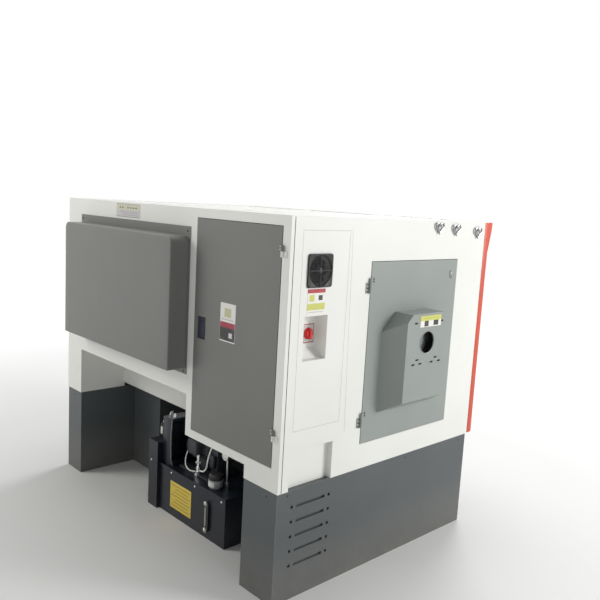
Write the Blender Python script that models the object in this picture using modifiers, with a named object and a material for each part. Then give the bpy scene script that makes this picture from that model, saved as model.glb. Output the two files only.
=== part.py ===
"""Slant-bed turning centre with a sheet-metal guard, seen from the rear and the headstock end."""

import math

import bmesh
import bpy
from mathutils import Matrix, Vector

# Sizes are in metres. A place is written (s, t, z): s from the headstock end, t from the rear face, z up.
BODY_LENGTH = 2.0795
BODY_DEPTH = 1.4536
BODY_HEIGHT = 1.75
BASE_HEIGHT = 0.532
SHEET = 0.02
END_FRAME = 0.035
FIT = 0.0003
DOOR_GAP = 0.0025
DOOR_PROUD = 0.002

SPINDLE_COVER_DEPTH = 0.112
REAR_COVER_DEPTH = 0.11
FRONT_REACH = 0.1764

# The spindle axis keeps its share of the depth, and of the height over the base.
AXIS_T = 0.581315355 * BODY_DEPTH
AXIS_Z = BASE_HEIGHT + 0.509852217 * (BODY_HEIGHT - BASE_HEIGHT)
BED_DROP = 0.2107
RAIL_DROP = 0.18
BED_BACK = AXIS_T - 0.405
BED_FRONT = AXIS_T + 0.155
BED_START = 0.20
BED_END = BODY_LENGTH - 0.0995
SLANT = math.sqrt(0.5)

CABINET_LENGTH = 0.7241
CABINET_BOTTOM = BASE_HEIGHT + 0.0655
CABINET_BACK = BED_BACK - 0.02
CORNER_LEG = 0.2385
TAIL_LEG = 0.1835
BEAM_BOTTOM = BASE_HEIGHT + 0.2806
RECESS_DEPTH = BED_BACK - 0.14
PEDESTAL_REACH = 0.4995
PEDESTAL_RECESS = BED_BACK - 0.055
UNIT_REAR = RECESS_DEPTH - 0.16
UNIT_TOP = 0.55
LINER_BOTTOM = max(UNIT_TOP + 0.01, BASE_HEIGHT + 0.028)

REAR_COVER = (CABINET_LENGTH + 0.0029, BODY_LENGTH - 0.1745, BEAM_BOTTOM + 0.0994, BODY_HEIGHT - 0.093)
CABINET_DOOR = (0.0495, CABINET_LENGTH - 0.0484, CABINET_BOTTOM + 0.0413, BODY_HEIGHT - 0.0449)
CABINET_HINGES = (CABINET_DOOR[2] + 0.1532, CABINET_DOOR[3] - 0.1071)
CABINET_PIVOT = (0.043, -0.0075)
CABINET_LATCH = (CABINET_DOOR[1] - 0.0977, CABINET_DOOR[1] - 0.0317, CABINET_DOOR[2] + 0.5342)
END_DOOR = (AXIS_T - 0.3266, AXIS_T + 0.3688, BASE_HEIGHT + 0.1255, BODY_HEIGHT - 0.20)
END_HINGES = (END_DOOR[2] + 0.1125, END_DOOR[3] - 0.125)
END_PIVOT = END_DOOR[0] - 0.0054
HINGE_HALF = 0.025
FRONT_OPENING = (0.62, BODY_LENGTH - 0.6395, BASE_HEIGHT + 0.268, BODY_HEIGHT - 0.15)
TANK_BAY = (0.40, BODY_LENGTH - 0.6795, BASE_HEIGHT - 0.112)
TANK_BACK = UNIT_REAR + 0.48

HEADSTOCK = (0.25, 0.56)
CHUCK_START = 0.585
CHUCK_END = 0.665
CHUCK_RADIUS = 0.10
SPINDLE_RADIUS = 0.055
PULLEY_SPAN = (0.07, 0.13)
SPINDLE_PULLEY = 0.105
MOTOR_PULLEY = 0.055
MOTOR_T = AXIS_T + 0.27
MOTOR_Z = AXIS_Z - 0.353
SCREW_START = 0.585
SCREW_DROP = 0.1952
SCREW_RADIUS = 0.012

SADDLE = (1.03, 1.30)
TURRET_U = 0.30
TURRET_SPAN = (0.955, 1.0197)
TAILSTOCK = (BED_END - 0.28, BED_END - 0.04)
QUILL_RADIUS = 0.03

GUARD_START = HEADSTOCK[1] + 0.0186
GUARD_END = BODY_LENGTH - 0.1498
GUARD_TOP = BODY_HEIGHT - 0.0223
GUARD_FRONT = BODY_DEPTH - 0.0253

FAN_T = 0.1785
FAN_Z = BODY_HEIGHT - 0.2337
FAN_SIDE = 0.1485
FAN_HOLE = 0.062
SWITCH = (0.102, 0.245, BODY_HEIGHT - 0.632, BODY_HEIGHT - 0.433)
SWITCH_DEPTH = 0.0703
NOTCH = (0.062, AXIS_T - 0.515, BASE_HEIGHT + 0.182)
NOTCH_DEPTH = 0.03

CONTROL = (BODY_LENGTH - 0.5795, BODY_LENGTH - 0.0345, BODY_HEIGHT - 0.68, BODY_HEIGHT - 0.13)
CONTROL_FRONT = BODY_DEPTH + 0.1464
CONTROL_FACE = 0.008
TRAY_BOTTOM = CONTROL[2] - 0.27

X_END = SPINDLE_COVER_DEPTH - (BODY_LENGTH + SPINDLE_COVER_DEPTH) / 2
Y_REAR = (BODY_DEPTH + FRONT_REACH - REAR_COVER_DEPTH) / 2


def clear_scene():
    for item in list(bpy.data.objects):
        bpy.data.objects.remove(item, do_unlink=True)


def collection(name):
    group = bpy.data.collections.new(name)
    bpy.context.scene.collection.children.link(group)
    return group


def at(s, t, z):
    """The point in the part's own frame for a place on the machine."""
    return Vector((X_END + s, Y_REAR - t, z))


def slant(u, w):
    """(t, z) of a point u up the slant of the bed and w out from it, counted from the spindle axis."""
    return AXIS_T + (w - u) * SLANT, AXIS_Z + (u + w) * SLANT


def finish(obj, colour, roughness=0.5, metallic=0.0):
    material = bpy.data.materials.new(obj.name)
    material.use_nodes = True
    shader = material.node_tree.nodes["Principled BSDF"]
    shader.inputs["Base Color"].default_value = (*colour, 1.0)
    shader.inputs["Roughness"].default_value = roughness
    shader.inputs["Metallic"].default_value = metallic
    obj.data.materials.append(material)
    return obj


def add_object(name, bm, origin, group):
    """Turns a bmesh in the part's frame into an object whose origin is at the given point."""
    bmesh.ops.translate(bm, verts=bm.verts, vec=-origin)
    bmesh.ops.recalc_face_normals(bm, faces=bm.faces)
    mesh = bpy.data.meshes.new(name)
    bm.to_mesh(mesh)
    bm.free()
    obj = bpy.data.objects.new(name, mesh)
    obj.location = origin
    group.objects.link(obj)
    if group is CUTTERS:
        obj.hide_render = True
        obj.display_type = "WIRE"
    return obj


def fill_box(bm, s, t, z):
    low = at(s[0], t[1], z[0])
    high = at(s[1], t[0], z[1])
    size = high - low
    place = Matrix.Translation((low + high) / 2) @ Matrix.Diagonal((size.x, size.y, size.z, 1.0))
    bmesh.ops.create_cube(bm, size=1.0, matrix=place)


def fill_prism(bm, outline, place_low, place_high):
    """Joins the outline at its two ends; each place function turns an outline point into a point."""
    low = [bm.verts.new(place_low(p)) for p in outline]
    high = [bm.verts.new(place_high(p)) for p in outline]
    bm.faces.new(low)
    bm.faces.new(list(reversed(high)))
    for k in range(len(outline)):
        n = (k + 1) % len(outline)
        bm.faces.new((low[n], low[k], high[k], high[n]))


def make_box(name, s, t, z, origin=None, group=None):
    bm = bmesh.new()
    fill_box(bm, s, t, z)
    middle = at((s[0] + s[1]) / 2, (t[0] + t[1]) / 2, (z[0] + z[1]) / 2)
    return add_object(name, bm, origin or middle, group or PARTS)


def make_boxes(name, boxes, group=None):
    """Several separate boxes in one mesh, for a cutter or for pieces joined on to another."""
    bm = bmesh.new()
    for s, t, z in boxes:
        fill_box(bm, s, t, z)
    return add_object(name, bm, at(*[v[0] for v in boxes[0]]), group or CUTTERS)


def along_s(name, outline, span, origin=None, group=None):
    """An outline of (t, z) points carried along the machine."""
    bm = bmesh.new()
    fill_prism(bm, outline, lambda p: at(span[0], *p), lambda p: at(span[1], *p))
    return add_object(name, bm, origin or at(span[0], *outline[0]), group or PARTS)


def along_t(name, outline, span, origin=None, group=None):
    """An outline of (s, z) points carried from the rear towards the front."""
    bm = bmesh.new()
    fill_prism(bm, outline, lambda p: at(p[0], span[0], p[1]), lambda p: at(p[0], span[1], p[1]))
    return add_object(name, bm, origin or at(outline[0][0], span[0], outline[0][1]), group or PARTS)


def along_z(name, outline, span, origin=None, group=None):
    """An outline of (s, t) points carried upwards."""
    bm = bmesh.new()
    fill_prism(bm, outline, lambda p: at(*p, span[0]), lambda p: at(*p, span[1]))
    return add_object(name, bm, origin or at(*outline[0], span[0]), group or PARTS)


def slant_box(name, s, u, w, origin=None, group=None):
    corners = [slant(u[0], w[0]), slant(u[1], w[0]), slant(u[1], w[1]), slant(u[0], w[1])]
    return along_s(name, corners, s, origin, group)


def make_lathe(name, profile, centre, axis, segments, group=None):
    """Turns (distance along the axis, radius) pairs about the axis through the centre."""
    bm = bmesh.new()
    direction = Vector(axis).normalized()
    side = direction.orthogonal().normalized()
    other = direction.cross(side)
    rings = []
    for along, radius in profile:
        ring = []
        for k in range(segments):
            angle = 2 * math.pi * k / segments
            spoke = side * math.cos(angle) + other * math.sin(angle)
            ring.append(bm.verts.new(centre + direction * along + spoke * radius))
        rings.append(ring)
    for a, b in zip(rings, rings[1:]):
        for k in range(segments):
            n = (k + 1) % segments
            bm.faces.new((a[k], a[n], b[n], b[k]))
    bm.faces.new(rings[0])
    bm.faces.new(list(reversed(rings[-1])))
    obj = add_object(name, bm, centre, group or PARTS)
    round_off(obj)
    return obj


def round_off(obj):
    """Smooth shading with the real edges left sharp."""
    for face in obj.data.polygons:
        face.use_smooth = True
    obj.data.set_sharp_from_angle(angle=math.radians(35))


def boolean(obj, other, operation):
    step = obj.modifiers.new(other.name, "BOOLEAN")
    step.operation = operation
    step.solver = "EXACT"
    step.object = other
    return obj


def cut(obj, *cutters):
    for cutter in cutters:
        boolean(obj, cutter, "DIFFERENCE")
    return obj


def fuse(obj, *pieces):
    for piece in pieces:
        boolean(obj, piece, "UNION")
    return obj


def bevel(obj, width, segments=1):
    step = obj.modifiers.new("edge", "BEVEL")
    step.width = width
    step.segments = segments
    step.limit_method = "ANGLE"
    step.angle_limit = math.radians(40)
    return obj


def rounded_outline(a, b, radius, corners, steps=5):
    """A rectangle from a to b as a list of points, with the named corners rounded."""
    places = {"bl": (a[0], a[1], 180), "br": (b[0], a[1], 270), "tr": (b[0], b[1], 0), "tl": (a[0], b[1], 90)}
    points = []
    for key in ("bl", "br", "tr", "tl"):
        x, y, start = places[key]
        if key not in corners:
            points.append((x, y))
            continue
        cx = x + (radius if x == a[0] else -radius)
        cy = y + (radius if y == a[1] else -radius)
        for k in range(steps + 1):
            angle = math.radians(start + 90 * k / steps)
            points.append((cx + radius * math.cos(angle), cy + radius * math.sin(angle)))
    return points


WHITE = (0.78, 0.79, 0.77)
DARK_GREY = (0.125, 0.13, 0.122)
MID_GREY = (0.30, 0.315, 0.30)
BASE_GREY = (0.045, 0.05, 0.055)
UNIT_BLACK = (0.008, 0.011, 0.018)
CAST_GREEN = (0.20, 0.24, 0.22)
STEEL = (0.42, 0.43, 0.44)
PANEL_BLUE = (0.06, 0.075, 0.095)
RED = (0.62, 0.04, 0.02)
BLACK = (0.012, 0.012, 0.013)


def build_base():
    head = make_box("base_headstock", (0.005, CORNER_LEG), (0.003, BODY_DEPTH - 0.005), (0.0, BASE_HEIGHT - FIT))
    louvres = []
    for row in range(5):
        middle = BASE_HEIGHT - 0.082 - 0.0708 * row
        height = (middle - 0.007, middle + 0.007)
        for span in ((0.088, 0.102), (0.123, 0.303), (0.324, 0.338)):
            louvres.append(((0.0, 0.017), span, height))
    cut(head, make_boxes("louvre_cutter", louvres))
    finish(head, BASE_GREY, 0.55)

    inner = BODY_LENGTH - PEDESTAL_REACH
    leg = BODY_LENGTH - TAIL_LEG
    end = BODY_LENGTH - 0.005
    front = BODY_DEPTH - 0.005
    outline = [(inner, PEDESTAL_RECESS), (leg, PEDESTAL_RECESS), (leg, 0.003), (end, 0.003), (end, front), (inner, front)]
    finish(along_z("base_tailstock", outline, (0.0, BASE_HEIGHT - FIT)), BASE_GREY, 0.55)

    skirt = make_box("base_skirt", (CORNER_LEG + FIT, inner - FIT), (front - 0.0186, front), (0.0, BASE_HEIGHT - FIT))
    cut(skirt, make_box("skirt_cutter", TANK_BAY[:2], (front - 0.1, front + 0.1), (-0.1, TANK_BAY[2]), group=CUTTERS))
    finish(skirt, BASE_GREY, 0.55)


def build_coolant_tank():
    front = BODY_DEPTH - 0.005
    s0, s1, top = TANK_BAY
    middle = (s0 + s1) / 2
    tank = make_box("coolant_tank", (s0 + 0.02, s1 - 0.02), (TANK_BACK, front - 0.019), (0.012, top - 0.02),
                    origin=at(middle, front, 0.2))
    plate = make_box("tank_front", (s0 + 0.003, s1 - 0.003), (front - 0.02, front), (0.01, top - 0.003), group=CUTTERS)
    bar = make_box("tank_grip", (middle - 0.12, middle + 0.12), (front + 0.018, front + 0.03),
                   (top - 0.12, top - 0.105), group=CUTTERS)
    posts = [make_box("grip_post_" + str(index), span, (front - 0.002, front + 0.024), (top - 0.118, top - 0.107),
                      group=CUTTERS)
             for index, span in enumerate(((middle - 0.115, middle - 0.10), (middle + 0.10, middle + 0.115)))]
    tray = make_box("tank_tray", (s0 + FIT, s1 - FIT), (TANK_BACK, front - 0.002), (0.010, 0.05), group=CUTTERS)
    fuse(tank, plate, tray, *posts, bar)
    finish(tank, BASE_GREY, 0.5)


def build_bed():
    half = 0.15
    rail = 0.015
    edge = BED_FRONT, AXIS_T + AXIS_Z - BED_DROP / SLANT - BED_FRONT
    top = BED_BACK, AXIS_T + AXIS_Z - BED_DROP / SLANT - BED_BACK
    outline = [(BED_BACK, BASE_HEIGHT), (BED_FRONT, BASE_HEIGHT), edge]
    for centre in (-half, half):
        outline += [slant(centre - rail, -BED_DROP), slant(centre - rail, -RAIL_DROP),
                    slant(centre + rail, -RAIL_DROP), slant(centre + rail, -BED_DROP)]
    outline.append(top)
    bed = along_s("slant_bed", outline, (BED_START, BED_END))
    for name, span in (("screw_block_head", (SCREW_START + 0.005, SCREW_START + 0.035)),
                       ("screw_block_tail", (BED_END - 0.10, BED_END - 0.07))):
        fuse(bed, slant_box(name, span, (-0.03, 0.03), (-BED_DROP - 0.01, -RAIL_DROP + FIT), group=CUTTERS))
    centre = at(0.5, *slant(0.0, -SCREW_DROP))
    bore = [(0.0, SCREW_RADIUS + 0.0005), (BED_END - 0.48, SCREW_RADIUS + 0.0005)]
    cut(bed, make_lathe("screw_bore", bore, centre, (1, 0, 0), 24, CUTTERS))
    finish(bed, CAST_GREEN, 0.55)

    centre = at(SCREW_START, *slant(0.0, -SCREW_DROP))
    length = BED_END - 0.06 - SCREW_START
    screw = make_lathe("z_screw", [(0.0, SCREW_RADIUS), (length, SCREW_RADIUS)], centre, (1, 0, 0), 20)
    finish(screw, STEEL, 0.25, 1.0)


def build_headstock():
    centre = at(HEADSTOCK[0], AXIS_T, AXIS_Z)
    low = -RAIL_DROP + FIT
    outline = [slant(-0.17, low), slant(0.17, low), slant(0.17, 0.07), slant(0.12, 0.12), slant(-0.12, 0.12),
               slant(-0.17, 0.07)]
    casting = along_s("headstock", outline, HEADSTOCK, origin=centre)
    bore = make_lathe("spindle_bore", [(-0.1, SPINDLE_RADIUS + 0.0005), (0.5, SPINDLE_RADIUS + 0.0005)], centre,
                      (1, 0, 0), 36, CUTTERS)
    finish(cut(casting, bore), CAST_GREEN, 0.5)

    start = PULLEY_SPAN[0]
    profile = [(-0.075, 0.060), (-0.068, 0.072), (0.025, 0.072), (0.03, 0.045), (start, 0.045), (start, SPINDLE_PULLEY),
               (PULLEY_SPAN[1], SPINDLE_PULLEY), (PULLEY_SPAN[1], SPINDLE_RADIUS),
               (HEADSTOCK[1] + 0.001, SPINDLE_RADIUS), (HEADSTOCK[1] + 0.003, 0.078), (CHUCK_START, 0.078),
               (CHUCK_START, CHUCK_RADIUS - 0.004), (CHUCK_START + 0.004, CHUCK_RADIUS),
               (CHUCK_END - 0.003, CHUCK_RADIUS), (CHUCK_END, CHUCK_RADIUS - 0.003)]
    spindle = make_lathe("spindle", profile, at(0.0, AXIS_T, AXIS_Z), (1, 0, 0), 40)
    finish(spindle, STEEL, 0.3, 1.0)

    for index, letter in enumerate("abc"):
        finish(build_jaw("chuck_jaw_" + letter, 90 + 120 * index), STEEL, 0.3, 1.0)


def build_jaw(name, angle):
    """A stepped jaw on the chuck's face, its length along the radius at the given angle."""
    turn = math.radians(angle)
    radial = Vector((0.0, math.cos(turn), math.sin(turn)))
    across = Vector((0.0, -math.sin(turn), math.cos(turn)))
    centre = at(CHUCK_END + FIT, AXIS_T, AXIS_Z)
    outline = [(0.0, 0.030), (0.045, 0.030), (0.045, 0.062), (0.02, 0.062), (0.02, 0.094), (0.0, 0.094)]
    bm = bmesh.new()
    fill_prism(bm, outline, lambda p: centre + Vector((p[0], 0, 0)) + radial * p[1] - across * 0.013,
               lambda p: centre + Vector((p[0], 0, 0)) + radial * p[1] + across * 0.013)
    return add_object(name, bm, centre + radial * 0.06, PARTS)


def belt_loop(radii):
    """Points round two pulleys, each the farthest point of the pair in one direction."""
    wheels = ((AXIS_T, AXIS_Z, radii[0]), (MOTOR_T, MOTOR_Z, radii[1]))
    points = []
    for k in range(72):
        angle = 2 * math.pi * k / 72
        nt, nz = math.cos(angle), math.sin(angle)
        t, z, r = max(wheels, key=lambda wheel: wheel[0] * nt + wheel[1] * nz + wheel[2])
        points.append((t + r * nt, z + r * nz))
    return points


def build_drive():
    centre = at(0.0, MOTOR_T, MOTOR_Z)
    motor = make_lathe("spindle_motor", [(0.17, 0.075), (0.18, 0.095), (0.42, 0.095), (0.42, 0.088), (0.50, 0.088),
                                         (0.505, 0.07)], centre, (1, 0, 0), 32)
    foot_bottom = max(MOTOR_Z - 0.20, BASE_HEIGHT + 0.01)
    foot = make_box("motor_foot", (0.22, 0.45), (BED_FRONT + FIT, MOTOR_T + 0.045), (foot_bottom, MOTOR_Z - 0.065),
                    group=CUTTERS)
    terminal = make_box("motor_terminal", (0.22, 0.34), (MOTOR_T - 0.05, MOTOR_T + 0.05), (MOTOR_Z + 0.07, MOTOR_Z + 0.13),
                        group=CUTTERS)
    finish(fuse(motor, foot, terminal), (0.05, 0.07, 0.10), 0.5)

    pulley = make_lathe("motor_pulley", [(PULLEY_SPAN[0], MOTOR_PULLEY), (PULLEY_SPAN[1], MOTOR_PULLEY),
                                         (PULLEY_SPAN[1], 0.02), (0.17 - FIT, 0.02)], centre, (1, 0, 0), 32)
    finish(pulley, STEEL, 0.35, 1.0)

    gap = 0.0005
    inner = belt_loop((SPINDLE_PULLEY + gap, MOTOR_PULLEY + gap))
    outer = belt_loop((SPINDLE_PULLEY + gap + 0.007, MOTOR_PULLEY + gap + 0.007))
    bm = bmesh.new()
    rings = []
    for span, loop in ((0.08, outer), (0.12, outer), (0.12, inner), (0.08, inner)):
        rings.append([bm.verts.new(at(span, *p)) for p in loop])
    for a, b in zip(rings, rings[1:] + rings[:1]):
        for k in range(len(a)):
            n = (k + 1) % len(a)
            bm.faces.new((a[k], a[n], b[n], b[k]))
    belt = add_object("drive_belt", bm, at(0.10, AXIS_T, AXIS_Z), PARTS)
    finish(belt, BLACK, 0.7)


def build_slides():
    low = -RAIL_DROP + FIT
    saddle_top = -0.115
    saddle = slant_box("saddle", SADDLE, (-0.21, 0.33), (low, saddle_top))
    finish(bevel(saddle, 0.004), CAST_GREEN, 0.5)

    cross = slant_box("cross_slide", (1.06, 1.26), (0.05, 0.40), (saddle_top + FIT, -0.07))
    housing = slant_box("turret_housing", (TURRET_SPAN[1] + FIT, 1.17), (TURRET_U - 0.09, TURRET_U + 0.09),
                        (-0.11, 0.085), group=CUTTERS)
    finish(fuse(cross, housing), CAST_GREEN, 0.5)

    middle = at(0.0, *slant(TURRET_U, 0.0))
    disc = make_lathe("turret", [(TURRET_SPAN[0], 0.105), (TURRET_SPAN[0] + 0.006, 0.112), (TURRET_SPAN[1], 0.112)],
                      middle, (1, 0, 0), 8)
    for index in range(8):
        fuse(disc, build_holder("holder_" + str(index), middle, math.radians(22.5 + 45 * index)))
    finish(disc, STEEL, 0.35, 1.0)


def build_holder(name, middle, angle):
    """A tool block on a flat of the turret disc with a short tool held out from it."""
    radial = Vector((0.0, math.cos(angle), math.sin(angle)))
    across = Vector((0.0, -math.sin(angle), math.cos(angle)))
    span = (TURRET_SPAN[0] + 0.008, TURRET_SPAN[1] - 0.012)
    outline = [(0.07, -0.022), (0.132, -0.022), (0.132, -0.004), (0.152, -0.004), (0.152, 0.008), (0.132, 0.008),
               (0.132, 0.022), (0.07, 0.022)]
    bm = bmesh.new()
    fill_prism(bm, outline, lambda p: middle + Vector((span[0], 0, 0)) + radial * p[0] + across * p[1],
               lambda p: middle + Vector((span[1], 0, 0)) + radial * p[0] + across * p[1])
    return add_object(name, bm, middle.copy(), CUTTERS)


def build_tailstock():
    low = -RAIL_DROP + FIT
    outline = [slant(-0.19, low), slant(0.19, low), slant(0.19, -0.11), slant(0.07, -0.09), slant(0.07, 0.05),
               slant(0.05, 0.07), slant(-0.05, 0.07), slant(-0.07, 0.05), slant(-0.07, -0.09), slant(-0.19, -0.11)]
    body = along_s("tailstock", outline, TAILSTOCK)
    start, end = TAILSTOCK
    centre = at(0.0, AXIS_T, AXIS_Z)
    reach = [(start - 0.2, QUILL_RADIUS + 0.0005), (end - 0.025, QUILL_RADIUS + 0.0005)]
    bore = make_lathe("quill_bore", reach, centre, (1, 0, 0), 28, CUTTERS)
    finish(cut(body, bore), CAST_GREEN, 0.5)
    quill = make_lathe("quill", [(start - 0.145, 0.0015), (start - 0.105, 0.018), (start - 0.09, 0.018),
                                 (start - 0.09, QUILL_RADIUS), (start + 0.20, QUILL_RADIUS)], centre, (1, 0, 0), 28)
    finish(quill, STEEL, 0.2, 1.0)


def build_guards():
    edge = AXIS_T + AXIS_Z - (RAIL_DROP - 0.001) / SLANT
    apron = BED_FRONT + 0.04
    low = BASE_HEIGHT + 0.168
    outline = [(BED_BACK + FIT, edge - BED_BACK), (apron + FIT, edge - apron), (apron + FIT, low), (GUARD_FRONT, low),
               (GUARD_FRONT, GUARD_TOP), (BED_BACK + FIT, GUARD_TOP)]
    wall = along_s("guard_left", outline, (GUARD_START - 0.0083, GUARD_START - FIT))
    centre = at(0.5, AXIS_T, AXIS_Z)
    hole = make_lathe("nose_hole", [(0.0, 0.081), (0.2, 0.081)], centre, (1, 0, 0), 36, CUTTERS)
    finish(cut(wall, hole), WHITE, 0.45)
    length = (GUARD_START, GUARD_END)
    back = make_box("guard_rear", length, (BED_BACK - 0.0097, BED_BACK - FIT), (AXIS_Z + 0.1073, GUARD_TOP))
    finish(back, WHITE, 0.45)
    back_z, front_z, sheet = BASE_HEIGHT + 0.068, BASE_HEIGHT + 0.148, 0.006
    chute = [(BED_FRONT + FIT, back_z), (GUARD_FRONT, front_z), (GUARD_FRONT, front_z + sheet),
             (BED_FRONT + FIT, back_z + sheet)]
    finish(along_s("chip_chute", chute, length), STEEL, 0.4, 1.0)


def build_rear():
    tail = BODY_LENGTH - TAIL_LEG
    outline = [(0.0, BASE_HEIGHT), (CORNER_LEG, BASE_HEIGHT), (CORNER_LEG, CABINET_BOTTOM),
               (CABINET_LENGTH, CABINET_BOTTOM), (CABINET_LENGTH, BEAM_BOTTOM), (tail, BEAM_BOTTOM),
               (tail, BASE_HEIGHT), (BODY_LENGTH, BASE_HEIGHT), (BODY_LENGTH, BODY_HEIGHT), (0.0, BODY_HEIGHT)]
    frame = along_t("rear_frame", outline, (0.0, SHEET))
    s0, s1, z0, z1 = CABINET_DOOR
    cut(frame, make_box("cabinet_opening", (s0, s1), (-0.1, 0.1), (z0, z1), group=CUTTERS))
    for z in CABINET_HINGES:
        fuse(frame, *knuckle("frame_knuckle", z - HINGE_HALF, (0.018, CABINET_PIVOT[0] - 0.001), 0.001))
    finish(frame, WHITE, 0.4)

    inside = SHEET + FIT
    liner = [(inside, BEAM_BOTTOM + 0.002), (RECESS_DEPTH, BEAM_BOTTOM + 0.002), (RECESS_DEPTH, LINER_BOTTOM),
             (RECESS_DEPTH + 0.006, LINER_BOTTOM), (RECESS_DEPTH + 0.006, BEAM_BOTTOM + 0.008), (inside, BEAM_BOTTOM + 0.008)]
    lining = along_s("recess_liner", liner, (CABINET_LENGTH + FIT, tail + 0.006))
    cheek = make_box("recess_cheek", (tail, tail + 0.006), (inside, RECESS_DEPTH + 0.006),
                     (BASE_HEIGHT + FIT, BEAM_BOTTOM + 0.008), group=CUTTERS)
    finish(fuse(lining, cheek), WHITE, 0.45)

    s0, s1, z0, z1 = REAR_COVER
    flange = make_box("rear_cover", (s0, s1), (-0.0033, -FIT), (z0, z1))
    shape = rounded_outline((s0 + 0.01, z0 + 0.03), (s1 - 0.01, z1 - 0.047), 0.035, ("tl", "tr"))
    raised = along_t("cover_box", shape, (-REAR_COVER_DEPTH, -0.003), group=CUTTERS)
    fuse(flange, raised)
    bolts = [(s, z) for s in (s0 + 0.037, s0 + 0.59, s1 - 0.035) for z in (z0 + 0.014, z1 - 0.024)]
    for index, (s, z) in enumerate(bolts):
        head = make_lathe("cover_bolt_" + str(index), [(0.001, 0.007), (0.006, 0.006)], at(s, 0.0, z), (0, 1, 0), 10,
                          CUTTERS)
        fuse(flange, head)
    finish(flange, DARK_GREY, 0.45)


def knuckle(name, low, reach, back):
    """One leaf of a cabinet hinge, with the roll it ends in on the door's pivot line."""
    name = name + "_" + str(round(1000 * low))
    leaf = make_box(name + "_leaf", reach, (-0.0045, back), (low, low + HINGE_HALF), group=CUTTERS)
    roll = make_lathe(name, [(0.0, 0.0065), (HINGE_HALF, 0.0065)], at(*CABINET_PIVOT, low), (0, 0, 1), 14, CUTTERS)
    return leaf, roll


def build_cabinet():
    inside = SHEET + FIT
    right = CABINET_LENGTH - 0.0138
    shell = make_box("cabinet_shell", (END_FRAME + FIT, right), (inside, CABINET_BACK),
                     (CABINET_BOTTOM + 0.0075, GUARD_TOP))
    hollow = make_box("cabinet_hollow", (0.0, right - 0.005), (0.0, CABINET_BACK - 0.006),
                      (CABINET_BOTTOM + 0.0145, GUARD_TOP - 0.006), group=CUTTERS)
    finish(cut(shell, hollow), WHITE, 0.5)

    back = CABINET_BACK - 0.0063
    low, high = CABINET_DOOR[2] + 0.0412, CABINET_DOOR[3] - 0.0451
    left, right = CABINET_DOOR[0] + 0.0305, CABINET_DOOR[1] + 0.0043
    plate = make_box("drive_plate", (left, right), (back - 0.01, back), (low, high))
    seat = back - 0.009
    pitch = (right - left - 0.105) / 9
    blocks = [((left + 0.04, left + 0.16), (back - 0.1637, seat), (high - 0.44, high - 0.08)),
              ((left + 0.19, left + 0.31), (back - 0.1637, seat), (high - 0.44, high - 0.08)),
              ((right - 0.26, right - 0.06), (back - 0.1937, seat), (high - 0.48, high - 0.06)),
              ((right - 0.23, right - 0.05), (back - 0.1737, seat), (low + 0.04, low + 0.22)),
              ((left + 0.04, left + 0.32), (back - 0.0637, seat), (low + 0.12, low + 0.16))]
    starts = [left + 0.03 + pitch * k for k in range(9)]
    blocks += [((s, s + pitch - 0.01), (back - 0.1037, seat), (low + 0.32, low + 0.41)) for s in starts]
    for index, block in enumerate(blocks):
        fuse(plate, make_box("drive_block_" + str(index), *block, group=CUTTERS))
    finish(plate, (0.35, 0.36, 0.36), 0.5)

    s0, s1, z0, z1 = CABINET_DOOR
    span = (s0 + DOOR_GAP, s1 - DOOR_GAP)
    pivot = at(*CABINET_PIVOT, z0 + 0.5312)
    door = make_box("cabinet_door", span, (-DOOR_PROUD, SHEET - DOOR_PROUD), (z0 + DOOR_GAP, z1 - DOOR_GAP), origin=pivot)
    left, right, middle = CABINET_LATCH
    pocket = make_box("latch_pocket", (left, right), (-0.1, 0.010), (middle - 0.055, middle + 0.055), group=CUTTERS)
    cut(door, pocket)
    for z in CABINET_HINGES:
        fuse(door, *knuckle("door_knuckle", z + FIT, (CABINET_PIVOT[0] + 0.001, 0.072), -0.0015))
    finish(door, DARK_GREY, 0.42)
    latch = make_box("cabinet_latch", (left + FIT, right - 0.0023), (0.001, 0.006), (middle - 0.0527, middle + 0.0527),
                     origin=at(left + FIT, 0.001, middle))
    finish(bevel(latch, 0.001), (0.02, 0.035, 0.09), 0.4)


def build_end():
    frame = make_box("end_frame", (0.0, END_FRAME), (SHEET + FIT, BODY_DEPTH), (BASE_HEIGHT, BODY_HEIGHT))
    t0, t1, z0, z1 = END_DOOR
    holes = make_boxes("end_openings", [((-0.1, 0.1), (t0, t1), (z0, z1)),
                                        ((-0.1, 0.1), SWITCH[:2], SWITCH[2:]),
                                        ((-0.1, NOTCH_DEPTH), NOTCH[:2], (0.4, NOTCH[2]))])
    fan = make_lathe("fan_hole", [(-0.1, FAN_HOLE), (0.1, FAN_HOLE)], at(0.0, FAN_T, FAN_Z), (1, 0, 0), 32, CUTTERS)
    finish(cut(frame, holes, fan), WHITE, 0.4)

    back = END_FRAME + FIT
    pocket = make_box("switch_pocket", (back, SWITCH_DEPTH + 0.0077), (SWITCH[0] - 0.008, SWITCH[1] + 0.008),
                      (SWITCH[2] - 0.008, SWITCH[3] + 0.008))
    shape = [(0.0, SWITCH[2]), (back, SWITCH[2]), (SWITCH_DEPTH, SWITCH[2] + 0.042), (SWITCH_DEPTH, SWITCH[3]),
             (0.0, SWITCH[3])]
    hollow = along_t("switch_hollow", shape, SWITCH[:2], group=CUTTERS)
    finish(cut(pocket, hollow), WHITE, 0.45)

    t, z = SWITCH[0] + 0.093, SWITCH[2] + 0.107
    centre = at(SWITCH_DEPTH - FIT, t, z)
    knob = make_lathe("switch_knob", [(0.0, 0.024), (0.006, 0.024), (0.006, 0.018), (0.014, 0.017)], centre, (-1, 0, 0), 24)
    grip = make_box("switch_grip", (SWITCH_DEPTH - 0.0243, SWITCH_DEPTH - 0.0123), (t - 0.005, t + 0.005),
                    (z - 0.022, z + 0.022), group=CUTTERS)
    finish(fuse(knob, grip), RED, 0.35)


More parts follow.
